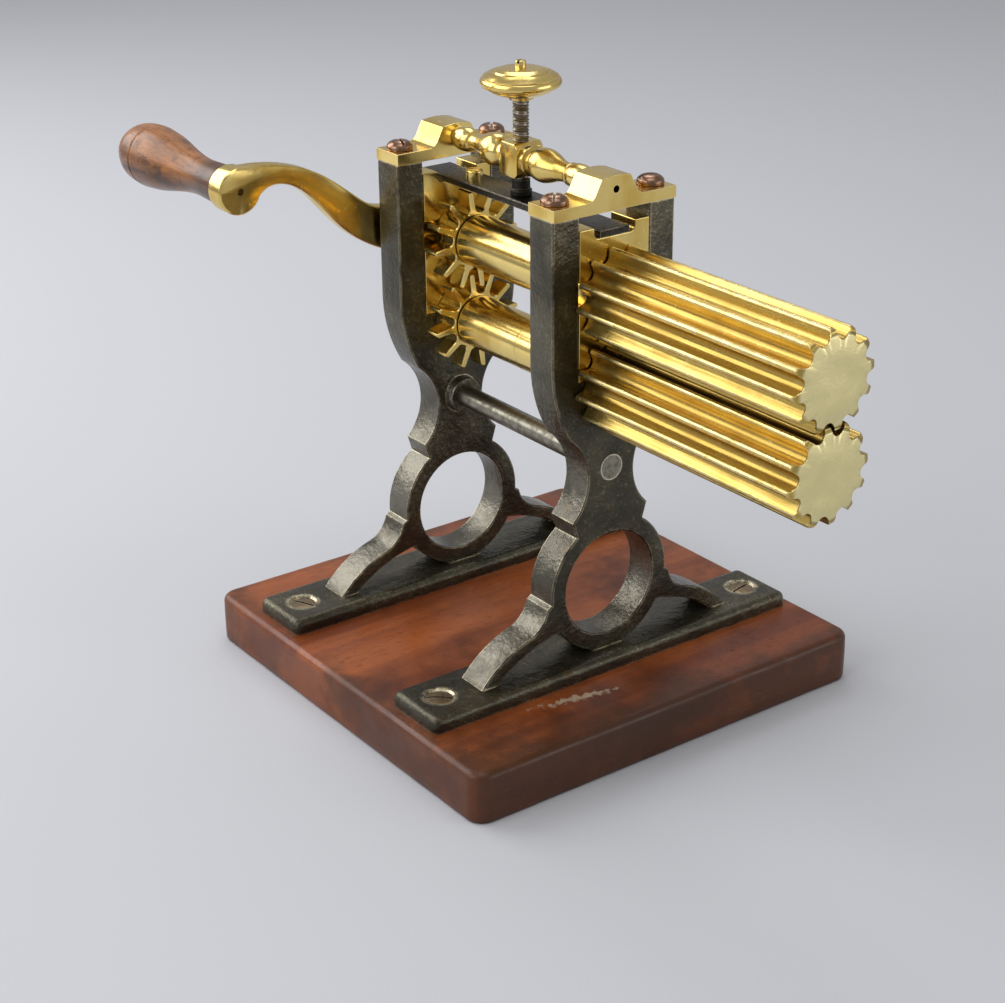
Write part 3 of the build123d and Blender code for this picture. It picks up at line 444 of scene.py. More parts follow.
def flute_marks(tree, coords, colour, base, rough, height):
    """Adds tool marks and tarnish along the flutes, rubbed tips, and a hammered front end face painted
    paler as a painted reflection.
    """
    upper = about_axis(tree, coords, UPPER_Z)
    lower = about_axis(tree, coords, LOWER_Z)
    reach = maths(tree, "MINIMUM", upper["Distance"], lower["Distance"])
    toothed = ramp(tree, upper["Along"], 50.5 * MM, 51.2 * MM)
    tips = times(tree, ramp(tree, reach, 17.0 * MM, 17.8 * MM), toothed)
    depth = times(tree, ramp(tree, reach, 16.6 * MM, 13.8 * MM), toothed)
    # The front end face, painted paler as a painted reflection of the lamps.
    face = ramp(tree, upper["Along"], 158.5 * MM, 159.2 * MM)
    face = times(tree, face, ramp(tree, reach, 16.5 * MM, 15.0 * MM))
    drawn_out = vector_maths(tree, "MULTIPLY", coords, (0.012, 1.0, 1.0))
    streaks = noise_at(tree, drawn_out, 950.0, 3.0, 0.65)
    lines = times(tree, ramp(tree, streaks, 0.46, 0.66), toothed)
    broad = ramp(tree, noise_at(tree, drawn_out, 260.0, 2.0, 0.5), 0.40, 0.62, 0.18, 0.80)
    rubbed = times(tree, tips, ramp(tree, noise_at(tree, coords, 180.0, 4.0), 0.35, 0.6, 0.3, 1.0))
    nicks = times(tree, tips, ramp(tree, noise_at(tree, coords, 420.0, 2.0), 0.58, 0.66))
    hammered = times(tree, noise_at(tree, coords, 62.0, 1.0, 0.4), times(tree, face, 26.0))
    brown = paint(colour, 0.42, 0.34, 0.20)
    base = mixed(tree, times(tree, toothed, 0.80), base, paint(colour, 0.64, 0.60, 0.44))
    base = mixed(tree, times(tree, lines, 0.42), base, brown)
    base = mixed(tree, times(tree, depth, broad), base, brown)
    base = mixed(tree, times(tree, rubbed, 0.50), base, PALE_BRASS)
    # Painted reflection: the end face made a paler brass.
    base = mixed(tree, times(tree, face, 0.85), base, (0.90, 0.81, 0.43, 1.0))
    rough = plus(tree, rough, plus(tree, times(tree, toothed, 0.06), times(tree, lines, 0.08)))
    rough = plus(tree, rough, times(tree, face, 0.08))
    height = plus(tree, height, hammered)
    height = less(tree, height, times(tree, lines, 0.35))
    height = less(tree, height, times(tree, nicks, 0.9))
    return base, rough, height


def fit_line_shade(tree, coords):
    """Mask of the painted shade in the narrow crease where a roller's journal enters its gear."""
    along = split(tree, coords)["X"]
    return times(tree, ramp(tree, along, -31.0 * MM, -31.2 * MM), ramp(tree, along, -32.2 * MM, -31.8 * MM))


def brass(name="Polished brass", fluted=False):
    """Polished brass: brown tarnish in its recesses, a painted highlight of pale brass on its edges, and
    polishing marks.
    """
    if name in bpy.data.materials:
        return bpy.data.materials[name]
    material, tree, shader, coords = new_material(name)
    props = bpy.context.scene.crimper_brass
    reach = 7.0 if fluted else 5.0
    recesses = {"Coordinates": coords, "Reach": reach * MM, "Start": 0.34, "Full": 0.92}
    grime = use_group(tree, grime_group(), recesses)["Mask"]
    # Edge mask for the painted highlight: pale brass laid along every edge.
    wear = edge_wear_and_glint(tree, coords, 0.55, 260.0, 0.16)
    marks = scratches(tree, coords, (0.6, 1.0, 0.5), 520.0, 0.61)
    cloud = noise_at(tree, coords, 60.0, 3.0, 0.5)
    deep = paint(props.colour, 0.74, 0.66, 0.44)
    base = mixed(tree, ramp(tree, cloud, 0.38, 0.74), paint(props.colour), deep)
    rough = ramp(tree, cloud, 0.3, 0.8, props.roughness + 0.02, props.roughness + 0.12)
    height = times(tree, noise_at(tree, coords, 230.0, 2.0, 0.5), 0.5)
    if fluted:
        base, rough, height = flute_marks(tree, coords, props.colour, base, rough, height)
    base = mixed(tree, times(tree, marks, 0.25), base, PALE_BRASS)
    base = mixed(tree, times(tree, grime, 0.88), base, paint(props.tarnish))
    # Painted highlight along the edges.
    base = mixed(tree, times(tree, wear, 0.62), base, PALE_BRASS)
    # Painted shade: a near-black ring in the crease between journal and gear.
    if fluted:
        base = mixed(tree, fit_line_shade(tree, coords), base, (0.020, 0.011, 0.003, 1.0))
    rough = plus(tree, rough, times(tree, marks, 0.10))
    rough = plus(tree, rough, times(tree, grime, 0.24))
    height = less(tree, height, times(tree, marks, 0.12))
    finish_shader(tree, shader, base, rough, height, 0.06)
    shader.inputs["Metallic"].default_value = 1.0
    return material


def plain_metal(name, colour, worn, rough, bump_scale=700.0, wear_width=0.6):
    """A darker metal with worn edges: screws, spring, pins."""
    if name in bpy.data.materials:
        return bpy.data.materials[name]
    material, tree, shader, coords = new_material(name)
    spots = noise_at(tree, coords, bump_scale, 4.0, 0.6)
    shaded = paint(colour, 0.55, 0.55, 0.55)
    base = mixed(tree, ramp(tree, spots, 0.35, 0.7), paint(colour), shaded)
    base = mixed(tree, edge_wear_and_glint(tree, coords, wear_width, 300.0, 0.22), base, paint(worn))
    roughness = ramp(tree, spots, 0.3, 0.75, rough, rough + 0.16)
    finish_shader(tree, shader, base, roughness, spots, 0.08)
    shader.inputs["Metallic"].default_value = 1.0
    return material


def dark_steel():
    """The steel of the nut, the pins, the spindle and the pressure screw."""
    return plain_metal("Dark steel", (0.17, 0.145, 0.115), (0.50, 0.43, 0.32), 0.30)


def timber(tree, coords, light, dark, worn, stretch, band_scale, wear):
    """Colour and height of timber with its grain, stains, rubbed edges and scratches."""
    grain = use_group(
        tree, grain_group(), {"Coordinates": coords, "Stretch": stretch, "Band scale": band_scale}
    )
    scuffs = scratches(tree, coords, (1.0, 0.35, 1.0), 120.0, 0.69)
    stains = noise_at(tree, coords, 17.0, 5.0, 0.6)
    pore = paint(dark, 0.35, 0.35, 0.35)
    base = mixed(tree, grain["Bands"], paint(light), paint(dark))
    base = mixed(tree, ramp(tree, grain["Fibres"], 0.35, 0.70, 0.0, 0.45), base, paint(dark))
    base = mixed(tree, times(tree, grain["Pores"], 0.7), base, pore)
    base = mixed(tree, ramp(tree, stains, 0.50, 0.70, 0.0, 0.80), base, pore)
    base = mixed(tree, times(tree, wear, 0.62), base, worn)
    base = mixed(tree, times(tree, scuffs, 0.40), base, worn)
    return base, less(tree, times(tree, grain["Fibres"], 0.5), grain["Pores"])


def varnish(tree, shader, coords, base, height, wear, coat):
    """Finishes timber with a patchy varnish that is dull where it is rubbed."""
    sheen = noise_at(tree, coords, 38.0, 3.0, 0.5)
    roughness = plus(tree, ramp(tree, sheen, 0.3, 0.7, 0.26, 0.44), times(tree, wear, 0.2))
    finish_shader(tree, shader, base, roughness, height, 0.06)
    tree.links.new(ramp(tree, sheen, 0.25, 0.75, coat, coat * 0.45), shader.inputs["Coat Weight"])
    shader.inputs["Coat Roughness"].default_value = 0.24
    shader.inputs["Specular IOR Level"].default_value = 0.30


def mahogany():
    """The board's mahogany: darker round its rim, corners and lower sides, with painted shade on its front
    (+X) face, and one long bruise on its top.
    """
    material, tree, shader, coords = new_material("Mahogany")
    props = bpy.context.scene.crimper_wood
    dark = props.board_dark
    worn = (0.36, 0.20, 0.105, 1.0)
    wear = edge_wear_and_glint(tree, coords, 1.7, 70.0, 0.26)
    base, height = timber(tree, coords, props.board_light, dark, worn, (3.0, 0.25, 3.0), 16.0, wear)
    parts = split(tree, coords)
    across = maths(tree, "ABSOLUTE", parts["X"])
    along = maths(tree, "ABSOLUTE", parts["Y"])
    # Darker towards the rim, the corners and the lower sides of the board.
    rim_break_up = noise_at(tree, coords, 26.0, 5.0, 0.6)
    rim = plus(tree, maths(tree, "MAXIMUM", across, along), ramp(tree, rim_break_up, 0.3, 0.7, -0.014, 0.014))
    rim = ramp(tree, rim, 76.0 * MM, 96.0 * MM)
    corner = plus(tree, plus(tree, across, along), ramp(tree, rim_break_up, 0.3, 0.7, -0.02, 0.02))
    corner = ramp(tree, corner, 140.0 * MM, 172.0 * MM)
    low = ramp(tree, parts["Z"], 18.5 * MM, 15.0 * MM)
    # Painted shade: the front (+X) face darkened, the side turned away from the main lamps.
    front = ramp(tree, parts["X"], 87.0 * MM, 89.5 * MM, 0.0, 0.30)
    darkening_and_front_shade = times(tree, maths(tree, "MAXIMUM", rim, corner), 0.74)
    darkening_and_front_shade = maths(tree, "MAXIMUM", darkening_and_front_shade, times(tree, low, 0.40))
    darkening_and_front_shade = maths(tree, "MINIMUM", plus(tree, darkening_and_front_shade, front), 0.85)
    # Mixes in the darker rim and the painted shade on the front face.
    base = mixed(tree, darkening_and_front_shade, base, paint(dark, 0.36, 0.62, 0.9))
    base = mixed(tree, times(tree, wear, 0.40), base, worn)
    bruise = use_group(
        tree,
        patch_group(),
        {
            "Coordinates": coords,
            "Centre": (0.0661, -0.0285, 0.0199),
            "Half size": (0.0024, 0.0165, 0.004),
            "Turn": radians(12),
            "Break-up scale": 340.0,
        },
    )["Mask"]
    base = mixed(tree, times(tree, bruise, 0.85), base, (0.42, 0.31, 0.21, 1.0))
    height = less(tree, height, times(tree, bruise, 2.0))
    varnish(tree, shader, coords, base, height, wear, 0.16)
    return material


def turned_hardwood():
    """The grip's hardwood, mottled and dark at the neck."""
    material, tree, shader, coords = new_material("Turned hardwood")
    props = bpy.context.scene.crimper_wood
    dark = props.grip_dark
    worn = (0.36, 0.20, 0.10, 1.0)
    wear = edge_wear_and_glint(tree, coords, 1.0, 70.0, 0.26)
    base, height = timber(tree, coords, props.grip_light, dark, worn, (0.22, 2.0, 2.0), 26.0, wear)
    neck = ramp(tree, split(tree, coords)["X"], -92.0 * MM, -76.0 * MM, 0.0, 0.75)
    mottle = ramp(tree, noise_at(tree, coords, 120.0, 5.0, 0.65), 0.50, 0.64, 0.0, 0.6)
    base = mixed(tree, maths(tree, "MAXIMUM", neck, mottle), base, paint(dark, 0.5, 0.5, 0.5))
    varnish(tree, shader, coords, base, height, wear, 0.30)
    return material


# ---- mesh building blocks ----------------------------------------------------------------
def new_object(name, data):
    """An object that holds the data, in the scene's own collection."""
    made = bpy.data.objects.new(name, data)
    bpy.context.scene.collection.objects.link(made)
    return made


def mesh_object(name, verts, faces):
    """A mesh object from points in millimetres."""
    mesh = bpy.data.meshes.new(name)
    mesh.from_pydata([Vector(v) * MM for v in verts], [], faces)
    mesh.update()
    return new_object(name, mesh)


def shade(made, sharp_angle):
    """Shades all but the sharp edges smooth."""
    made.data.shade_smooth()
    made.data.set_sharp_from_angle(angle=radians(sharp_angle))
    return made


def outward(made, sharp_angle=35.0):
    """Merges doubles, turns the faces outwards and shades all but the sharp edges smooth."""
    work = bmesh.new()
    work.from_mesh(made.data)
    bmesh.ops.remove_doubles(work, verts=work.verts, dist=1e-6)
    bmesh.ops.recalc_face_normals(work, faces=work.faces)
    work.to_mesh(made.data)
    work.free()
    return shade(made, sharp_angle)


def bake_modifiers(made):
    """Turns the evaluated shape into a plain mesh and drops the modifiers."""
    graph = bpy.context.evaluated_depsgraph_get()
    mesh = bpy.data.meshes.new_from_object(made.evaluated_get(graph), depsgraph=graph)
    old = made.data
    made.modifiers.clear()
    made.data = mesh
    bpy.data.meshes.remove(old)
    mesh.name = made.name
    return made


def ease_edges(made, width, segments, angle):
    """Rounds the edges that turn by more than the angle; the width is in millimetres."""
    easing = made.modifiers.new("Eased edges", "BEVEL")
    easing.width = width * MM
    easing.segments = segments
    easing.limit_method = "ANGLE"
    easing.angle_limit = radians(angle)
    return bake_modifiers(made)


def cut_away(made, tool, sharp_angle):
    """Cuts the tool's shape out of a mesh and puts the tool away."""
    cut = made.modifiers.new("Cut", "BOOLEAN")
    cut.operation = "DIFFERENCE"
    cut.object = tool
    cut.solver = "EXACT"
    bake_modifiers(made)
    bpy.data.objects.remove(tool)
    return shade(made, sharp_angle)


def join(name, *pieces):
    """Joins finished meshes into one object."""
    work = bmesh.new()
    for piece in pieces:
        work.from_mesh(piece.data)
    mesh = bpy.data.meshes.new(name)
    work.to_mesh(mesh)
    work.free()
    for piece in pieces:
        old = piece.data
        bpy.data.objects.remove(piece)
        bpy.data.meshes.remove(old)
    return new_object(name, mesh)


def coat(mesh, material):
    """Gives a mesh one material and no other."""
    mesh.materials.clear()
    mesh.materials.append(material)


def settle(made, material, body, slot, *nodes):
    """Gives a finished piece its material and body and hides the nodes that it stands for; the slot is not
    used.
    """
    coat(made.data, material)
    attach(made, body)
    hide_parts(*nodes)
    return made


def turned(name, profile, axis, centre, segments=96):
    """A solid of revolution from (along, radius) points, closed where they end on the axis."""
    verts = []
    faces = []
    ring_of = []
    for along, radius in profile:
        if radius < 1e-6:
            ring_of.append([len(verts)])
            verts.append((along, 0.0, 0.0))
            continue
        ring = []
        for i in range(segments):
            angle = tau * i / segments
            ring.append(len(verts))
            verts.append((along, radius * cos(angle), radius * sin(angle)))
        ring_of.append(ring)
    for a, b in zip(ring_of, ring_of[1:]):
        for i in range(segments):
            j = (i + 1) % segments
            if len(a) == 1 and len(b) > 1:
                faces.append((a[0], b[i], b[j]))
            elif len(b) == 1 and len(a) > 1:
                faces.append((a[i], a[j], b[0]))
            elif len(a) > 1 and len(b) > 1:
                faces.append((a[i], a[j], b[j], b[i]))
    if axis == "Z":
        verts = [(y, z, along) for along, y, z in verts]
    cx, cy, cz = centre
    return mesh_object(name, [(x + cx, y + cy, z + cz) for x, y, z in verts], faces)


def smooth_curve(points, steps):
    """Catmull-Rom points through the given ones."""
    padded = [points[0]] + list(points) + [points[-1]]
    out = []
    for p0, p1, p2, p3 in zip(padded, padded[1:], padded[2:], padded[3:]):
        for k in range(steps):
            t = k / steps
            point = []
            for a, b, c, d in zip(p0, p1, p2, p3):
                bend = 2 * a - 5 * b + 4 * c - d
                swing = 3 * b - a - 3 * c + d
                point.append(0.5 * (2 * b + (c - a) * t + bend * t * t + swing * t**3))
            out.append(tuple(point))
    out.append(tuple(points[-1]))
    return out


def eased_copy(node, name, width, segments=2):
    """A merged copy of a CAD node with its edges eased by a small rounding."""
    made = new_object(name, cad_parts[node].data.copy())
    work = bmesh.new()
    work.from_mesh(made.data)
    bmesh.ops.remove_doubles(work, verts=work.verts, dist=2e-6)
    bmesh.ops.dissolve_limit(work, angle_limit=radians(0.6), verts=work.verts, edges=work.edges)
    work.to_mesh(made.data)
    work.free()
    ease_edges(made, width, segments, 38.0)
    return shade(made, FINE_ANGLE)


# ---- geometry node trees -----------------------------------------------------------------
def geometry_tree(name, inputs):
    """An empty geometry node tree with a geometry input and output and named inputs."""
    tree = bpy.data.node_groups.new(name, "GeometryNodeTree")
    tree.interface.new_socket("Geometry", in_out="OUTPUT", socket_type="NodeSocketGeometry")
    tree.interface.new_socket("Geometry", in_out="INPUT", socket_type="NodeSocketGeometry")
    for label, kind, default in inputs:
        socket = tree.interface.new_socket(label, in_out="INPUT", socket_type=kind)
        if default is not None:
            socket.default_value = default
    return tree, tree.nodes.new("NodeGroupInput").outputs, tree.nodes.new("NodeGroupOutput").inputs


def finish_tree(tree, geometry, given, sink):
    """Makes the instances real, sets the material and links the result."""
    real = put(tree, "GeometryNodeRealizeInstances", {"Geometry": geometry})
    values = {"Geometry": real.outputs[0], "Material": given["Material"]}
    coated = put(tree, "GeometryNodeSetMaterial", values)
    tree.links.new(coated.outputs[0], sink["Geometry"])
    return tree


def teeth_tree():
    """One tooth's strip repeated round an axis and merged into a closed toothed shaft."""
    tree, given, sink = geometry_tree(
        "Teeth round an axis",
        [
            ("Teeth", "NodeSocketInt", TEETH),
            ("Start angle", "NodeSocketFloat", 0.0),
            ("Axis height", "NodeSocketFloat", 0.1),
            ("Material", "NodeSocketMaterial", None),
        ],
    )
    places = put(tree, "GeometryNodeMeshLine", {"Count": given["Teeth"], "Offset": (0.0, 0.0, 0.0)})
    index = put(tree, "GeometryNodeInputIndex")
    pitch = maths(tree, "DIVIDE", tau, given["Teeth"])
    angle = put(
        tree,
        "ShaderNodeMath",
        {0: index.outputs[0], 1: pitch, 2: given["Start angle"]},
        operation="MULTIPLY_ADD",
    )
    turn = combined(tree, X=angle.outputs[0])
    ring = put(
        tree,
        "GeometryNodeInstanceOnPoints",
        {"Points": places.outputs["Mesh"], "Instance": given["Geometry"], "Rotation": turn},
    )
    real = put(tree, "GeometryNodeRealizeInstances", {"Geometry": ring.outputs[0]})
    merged = put(tree, "GeometryNodeMergeByDistance", {"Geometry": real.outputs[0], "Distance": 2e-6})
    lift = combined(tree, Z=given["Axis height"])
    placed = put(tree, "GeometryNodeTransform", {"Geometry": merged.outputs[0], "Translation": lift})
    return finish_tree(tree, placed.outputs[0], given, sink)


def screws_tree():
    """A screw set on every point, each turned by the point's own angle."""
    tree, given, sink = geometry_tree(
        "Screws on points",
        [("Screw", "NodeSocketObject", None), ("Material", "NodeSocketMaterial", None)],
    )
    screw = put(tree, "GeometryNodeObjectInfo", {"Object": given["Screw"]})
    turn = put(tree, "GeometryNodeInputNamedAttribute", {"Name": "turn"}, data_type="FLOAT")
    angle = combined(tree, Z=turn.outputs["Attribute"])
    placed = put(
        tree,
        "GeometryNodeInstanceOnPoints",
        {"Points": given["Geometry"], "Instance": screw.outputs["Geometry"], "Rotation": angle},
    )
    return finish_tree(tree, placed.outputs[0], given, sink)


def thread_tree():
    """A helical ridge wound on a shank."""
    tree, given, sink = geometry_tree(
        "Thread on a shank",
        [
            ("Turns", "NodeSocketFloat", 20.0),
            ("Pitch", "NodeSocketFloat", 0.00127),
            ("Crest radius", "NodeSocketFloat", 0.0031),
            ("Depth", "NodeSocketFloat", 0.0006),
            ("Foot", "NodeSocketVector", (0.0, 0.0, 0.0)),
            ("Material", "NodeSocketMaterial", None),
        ],
    )
    radius = less(tree, given["Crest radius"], given["Depth"])
    helix = put(
        tree,
        "GeometryNodeCurveSpiral",
        {
            "Resolution": 40,
            "Rotations": given["Turns"],
            "Start Radius": radius,
            "End Radius": radius,
            "Height": times(tree, given["Turns"], given["Pitch"]),
        },
    )
    ridge = put(
        tree, "GeometryNodeCurvePrimitiveCircle", {"Resolution": 4, "Radius": given["Depth"]}, mode="RADIUS"
    )
    swept = put(
        tree,
        "GeometryNodeCurveToMesh",
        {"Curve": helix.outputs[0], "Profile Curve": ridge.outputs["Curve"], "Fill Caps": True},
    )
    moved = put(
        tree, "GeometryNodeTransform", {"Geometry": swept.outputs[0], "Translation": given["Foot"]}
    )
    both = tree.nodes.new("GeometryNodeJoinGeometry")
    tree.links.new(moved.outputs[0], both.inputs[0])
    tree.links.new(given["Geometry"], both.inputs[0])
    return finish_tree(tree, both.outputs[0], given, sink)


def run_tree(made, tree, **values):
    """Applies a geometry node tree to an object and keeps the result as a plain mesh.

    An input is named with _ for each space.
    """
    modifier = made.modifiers.new(tree.name, "NODES")
    modifier.node_group = tree
    keys = {item.name: item.identifier for item in tree.interface.items_tree if item.in_out == "INPUT"}
    for label, value in values.items():
        modifier[keys[label.replace("_", " ")]] = value
    return bake_modifiers(made)


def tree_named(name, build):
    """The tree of that name, built if it isn't there yet."""
    return bpy.data.node_groups.get(name) or build()


# ---- toothed shafts ----------------------------------------------------------------------
def tooth_section(tip_r, root_r, tip_half, root_half, root_fillet):
    """Half-valley to half-valley outline of one tooth on +Z, as (y, z) points."""
    valley_steps, flank_steps, tip_steps = 8, 4, 5
    valley_r = root_r + root_fillet
    foot = (root_half, sqrt(valley_r**2 - root_half**2))
    top = (tip_half, tip_r - tip_half)
    half = pi / TEETH
    across = foot[0] * cos(half) - foot[1] * sin(half)
    up = foot[0] * sin(half) + foot[1] * cos(half)
    rise = up - root_r
    bend = (across**2 + rise**2) / (2 * rise)
    sweep = 2 * atan2(rise, -across)
    side = []
    for k in range(valley_steps):
        angle = sweep * k / valley_steps
        y, z = -bend * sin(angle), root_r + bend * (1 - cos(angle))
        side.append((y * cos(half) + z * sin(half), z * cos(half) - y * sin(half)))
    for k in range(flank_steps):
        t = k / flank_steps
        side.append((foot[0] + (top[0] - foot[0]) * t, foot[1] + (top[1] - foot[1]) * t))
    for k in range(tip_steps):
        angle = pi / 2 * k / tip_steps
        side.append((tip_half * cos(angle), tip_r - tip_half + tip_half * sin(angle)))
    return [(-y, z) for y, z in side] + [(0.0, tip_r)] + side[::-1]


def inset_section(section, depth):
    """The section drawn in along its own normals."""
    out = []
    for i, (y, z) in enumerate(section):
        before = section[max(i - 1, 0)]
        after = section[min(i + 1, len(section) - 1)]
        dy, dz = after[0] - before[0], after[1] - before[1]
        if i in (0, len(section) - 1):
            size = hypot(y, z)
            out.append((y - y / size * depth, z - z / size * depth))
            continue
        size = hypot(dy, dz)
        out.append((y + dz / size * depth, z - dy / size * depth))
    return out


def toothed_strip(name, section, stations):
    """One tooth pitch swept along X. A station is (x, radius limit, inset of the section)."""
    verts = []
    faces = []
    rows = []
    for x, limit, inset in stations:
        row = []
        for y, z in inset_section(section, inset):
            keep = min(1.0, limit / hypot(y, z))
            row.append(len(verts))
            verts.append((x, y * keep, z * keep))
        rows.append(row)
    for a, b in zip(rows, rows[1:]):
        for i in range(len(section) - 1):
            faces.append((a[i], a[i + 1], b[i + 1], b[i]))
    for row, x in ((rows[0], stations[0][0]), (rows[-1], stations[-1][0])):
        hub = len(verts)
        verts.append((x, 0.0, 0.0))
        for i in range(len(section) - 1):
            faces.append((row[i], row[i + 1], hub))
    return mesh_object(name, verts, faces)


def toothed_shaft(name, section, stations, axis_z, material, sharp_angle):
    """A shaft along X with teeth round it, turned by a quarter of their pitch."""
    made = toothed_strip(name, section, stations)
    tree = tree_named("Teeth round an axis", teeth_tree)
    turn = pi / (2 * TEETH)
    run_tree(made, tree, Teeth=TEETH, Start_angle=turn, Axis_height=axis_z * MM, Material=material)
    return outward(made, sharp_angle)


def round_end(x, tip, radius, steps):
    """Stations that round a toothed end over from its tips."""
    out = []
    for k in range(steps + 1):
        angle = pi / 2 * k / steps
        out.append((x - radius * (1 - sin(angle)), tip - radius * (1 - cos(angle)), 0.0))
    return out


def roller_stations(tail, seam):
    """Stations of a roller: tail, journal, gear shoulder, seam, flutes and round front end."""
    plain = tail + [(GEAR_FACE_X, 8.0), (GEAR_FACE_X, 9.55), (GEAR_FACE_X + 0.4, 9.55)]
    plain += [(GEAR_FACE_X + 0.6, 10.0)] + seam + [(FLUTES_START_X, 10.0)]
    stations = [(x, radius, 0.0) for x, radius in plain]
    stations += [(FLUTES_START_X, 17.4, 0.5), (FLUTES_START_X + 0.7, PAST_TIPS, 0.0)]
    spans = 12
    step = (FLUTES_END_X - FLUTES_START_X) / spans
    stations += [(FLUTES_START_X + step * k, PAST_TIPS, 0.0) for k in range(1, spans)]
    stations += round_end(FLUTES_END_X - 0.75, 18.1, 2.5, 7)
    stations += [(FLUTES_END_X - x, radius, 0.2) for x, radius in ((0.55, 13.6), (0.30, 10.0), (0.12, 6.0))]
    return stations + [(FLUTES_END_X, 2.0, 0.4)]


def gear_stations():
    """Stations of a star gear: plain hub behind, eased teeth and a recessed front face."""
    steps = [(0.0, 11.2, 0.0), (0.4, 11.6, 0.0), (4.7, 11.6, 0.0), (4.7, 18.8, 0.35), (5.1, 19.2, 0.0)]
    steps += [(11.9, 19.2, 0.0), (12.3, 18.8, 0.30), (12.3, 10.08, 0.0), (11.5, 10.06, 0.0)]
    return [(GEAR_BACK_X + x, radius, inset) for x, radius, inset in steps]


# ---- screws, bar and board ----------------------------------------------------------------
def slotted_head(name, profile, slot_depth):
    """A turned screw head with a slot sawn across it."""
    head = outward(turned(name, profile, "Z", (0, 0, 0), 64))
    half_width = 0.5
    reach = 7.8
    top = profile[-1][0]
    box = [
        (x, y, z)
        for x in (-reach, reach)
        for y in (-half_width, half_width)
        for z in (top - slot_depth, top + slot_depth)
    ]
    sides = [(0, 1, 3, 2), (4, 6, 7, 5), (0, 4, 5, 1), (2, 3, 7, 6), (0, 2, 6, 4), (1, 5, 7, 3)]
    return cut_away(head, outward(mesh_object("saw", box, sides)), 35.0)


def corner_screws(name, head, side_y, z, turns, material):
    """Sets a screw head at the four corners of the frame, each turned by its own angle."""
    places = [
        (FRAME_MID_X + x, y, z) for x in (-SCREW_X, SCREW_X) for y in (-side_y, side_y)
    ]
    made = mesh_object(name, places, [])
    attribute = made.data.attributes.new("turn", "FLOAT", "POINT")
    attribute.data.foreach_set("value", [radians(turn) for turn in turns])
    run_tree(made, tree_named("Screws on points", screws_tree), Screw=head, Material=material)
    bpy.data.objects.remove(head)
    return made


def bar_block():
    """The chamfered block in the middle of the cross bar."""
    cut, half_x, half_y, half_z = 1.5, 5.3, 6.0, 6.3
    corners = [
        (half_x, half_z - cut), (half_x - cut, half_z), (cut - half_x, half_z), (-half_x, half_z - cut),
        (-half_x, cut - half_z), (cut - half_x, -half_z), (half_x - cut, -half_z), (half_x, cut - half_z),
    ]
    verts = [(x + FRAME_MID_X, y, z + BAR_Z) for y in (-half_y, half_y) for x, z in corners]
    faces = [tuple(range(8)), tuple(range(8, 16))[::-1]]
    faces += [(i, i + 8, (i + 1) % 8 + 8, (i + 1) % 8) for i in range(8)]
    block = outward(mesh_object("bar_block", verts, faces))
    ease_edges(block, 0.35, 2, 30.0)
    return outward(block, 30.0)


def board_outline():
    """Points round the board, as (x, y, outward x, outward y), corner by corner."""
    reach = BOARD_HALF - BOARD_CORNER
    corner_steps, side_steps = 12, 48
    outline = []
    for quarter in range(4):
        cx = reach if quarter in (0, 3) else -reach
        cy = reach if quarter in (0, 1) else -reach
        for k in range(corner_steps + 1):
            angle = pi / 2 * (quarter + k / corner_steps)
            out_x, out_y = cos(angle), sin(angle)
            outline.append((cx + BOARD_CORNER * out_x, cy + BOARD_CORNER * out_y, out_x, out_y))
        out_x, out_y = cos(pi / 2 * (quarter + 1)), sin(pi / 2 * (quarter + 1))
        start_x, start_y = outline[-1][:2]
        for k in range(1, side_steps):
            run = 2 * reach * k / side_steps
            outline.append((start_x - out_y * run, start_y + out_x * run, out_x, out_y))
    return outline


def board_levels():
    """Levels of the board as (inset, height), from its foot to its rounded top edge."""
    levels = [(1.5, 0.0), (0.5, 0.35), (0.0, 1.5)]
    levels += [(0.0, z) for z in (4.0, 7.0, 10.0, 13.0, 15.5)]
    steps = 8
    for k in range(steps + 1):
        angle = pi / 2 * k / steps
        drop = BOARD_ROUNDING * (1 - sin(angle))
        levels.append((BOARD_ROUNDING * (1 - cos(angle)), BOARD_HEIGHT - drop))
    return levels


def worn_point(point, inset, z):
    """A point of the outline at a level, pulled in by wear, most at the top and bottom edges."""
    x, y, out_x, out_y = point
    rough = noise.noise(Vector((x * 0.06, y * 0.06, z * 0.10)))
    dent = noise.noise(Vector((x * 0.35, y * 0.35, z * 0.35)))
    edge = 1.0 if z > 14 or z < 2 else 0.35
    pull = inset + 0.10 + edge * (0.22 * abs(rough) + 0.10 * abs(dent))
    return (x - out_x * pull, y - out_y * pull, z)


# ---- sizes and colours a user would change ------------------------------------------------
class CrimperIron(bpy.types.PropertyGroup):
    """Colours and edges of the castings"""

    colour: bpy.props.FloatVectorProperty(
        name="Black", description="Colour of the black finish on the castings", subtype="COLOR",
        size=3, min=0, max=1, default=(0.050, 0.045, 0.031),
    )
    worn: bpy.props.FloatVectorProperty(
        name="Worn edge", description="Colour of the iron where the black has rubbed off", subtype="COLOR",
        size=3, min=0, max=1, default=(0.56, 0.49, 0.34),
    )
    ease: bpy.props.FloatProperty(
        name="Edge rounding", description="Rounding of the castings' edges, in millimetres",
        min=0.1, max=2, default=0.7,
    )


class CrimperBrass(bpy.types.PropertyGroup):
    """Colours and polish of the brass"""

    colour: bpy.props.FloatVectorProperty(
        name="Brass", description="Colour of the polished brass", subtype="COLOR",
        size=3, min=0, max=1, default=(0.85, 0.645, 0.225),
    )
    tarnish: bpy.props.FloatVectorProperty(
        name="Tarnish", description="Colour of the tarnish left in recesses", subtype="COLOR",
        size=3, min=0, max=1, default=(0.095, 0.055, 0.012),
    )
    roughness: bpy.props.FloatProperty(
        name="Polish", description="Roughness of the polished brass", min=0.02, max=0.6, default=0.15,
    )


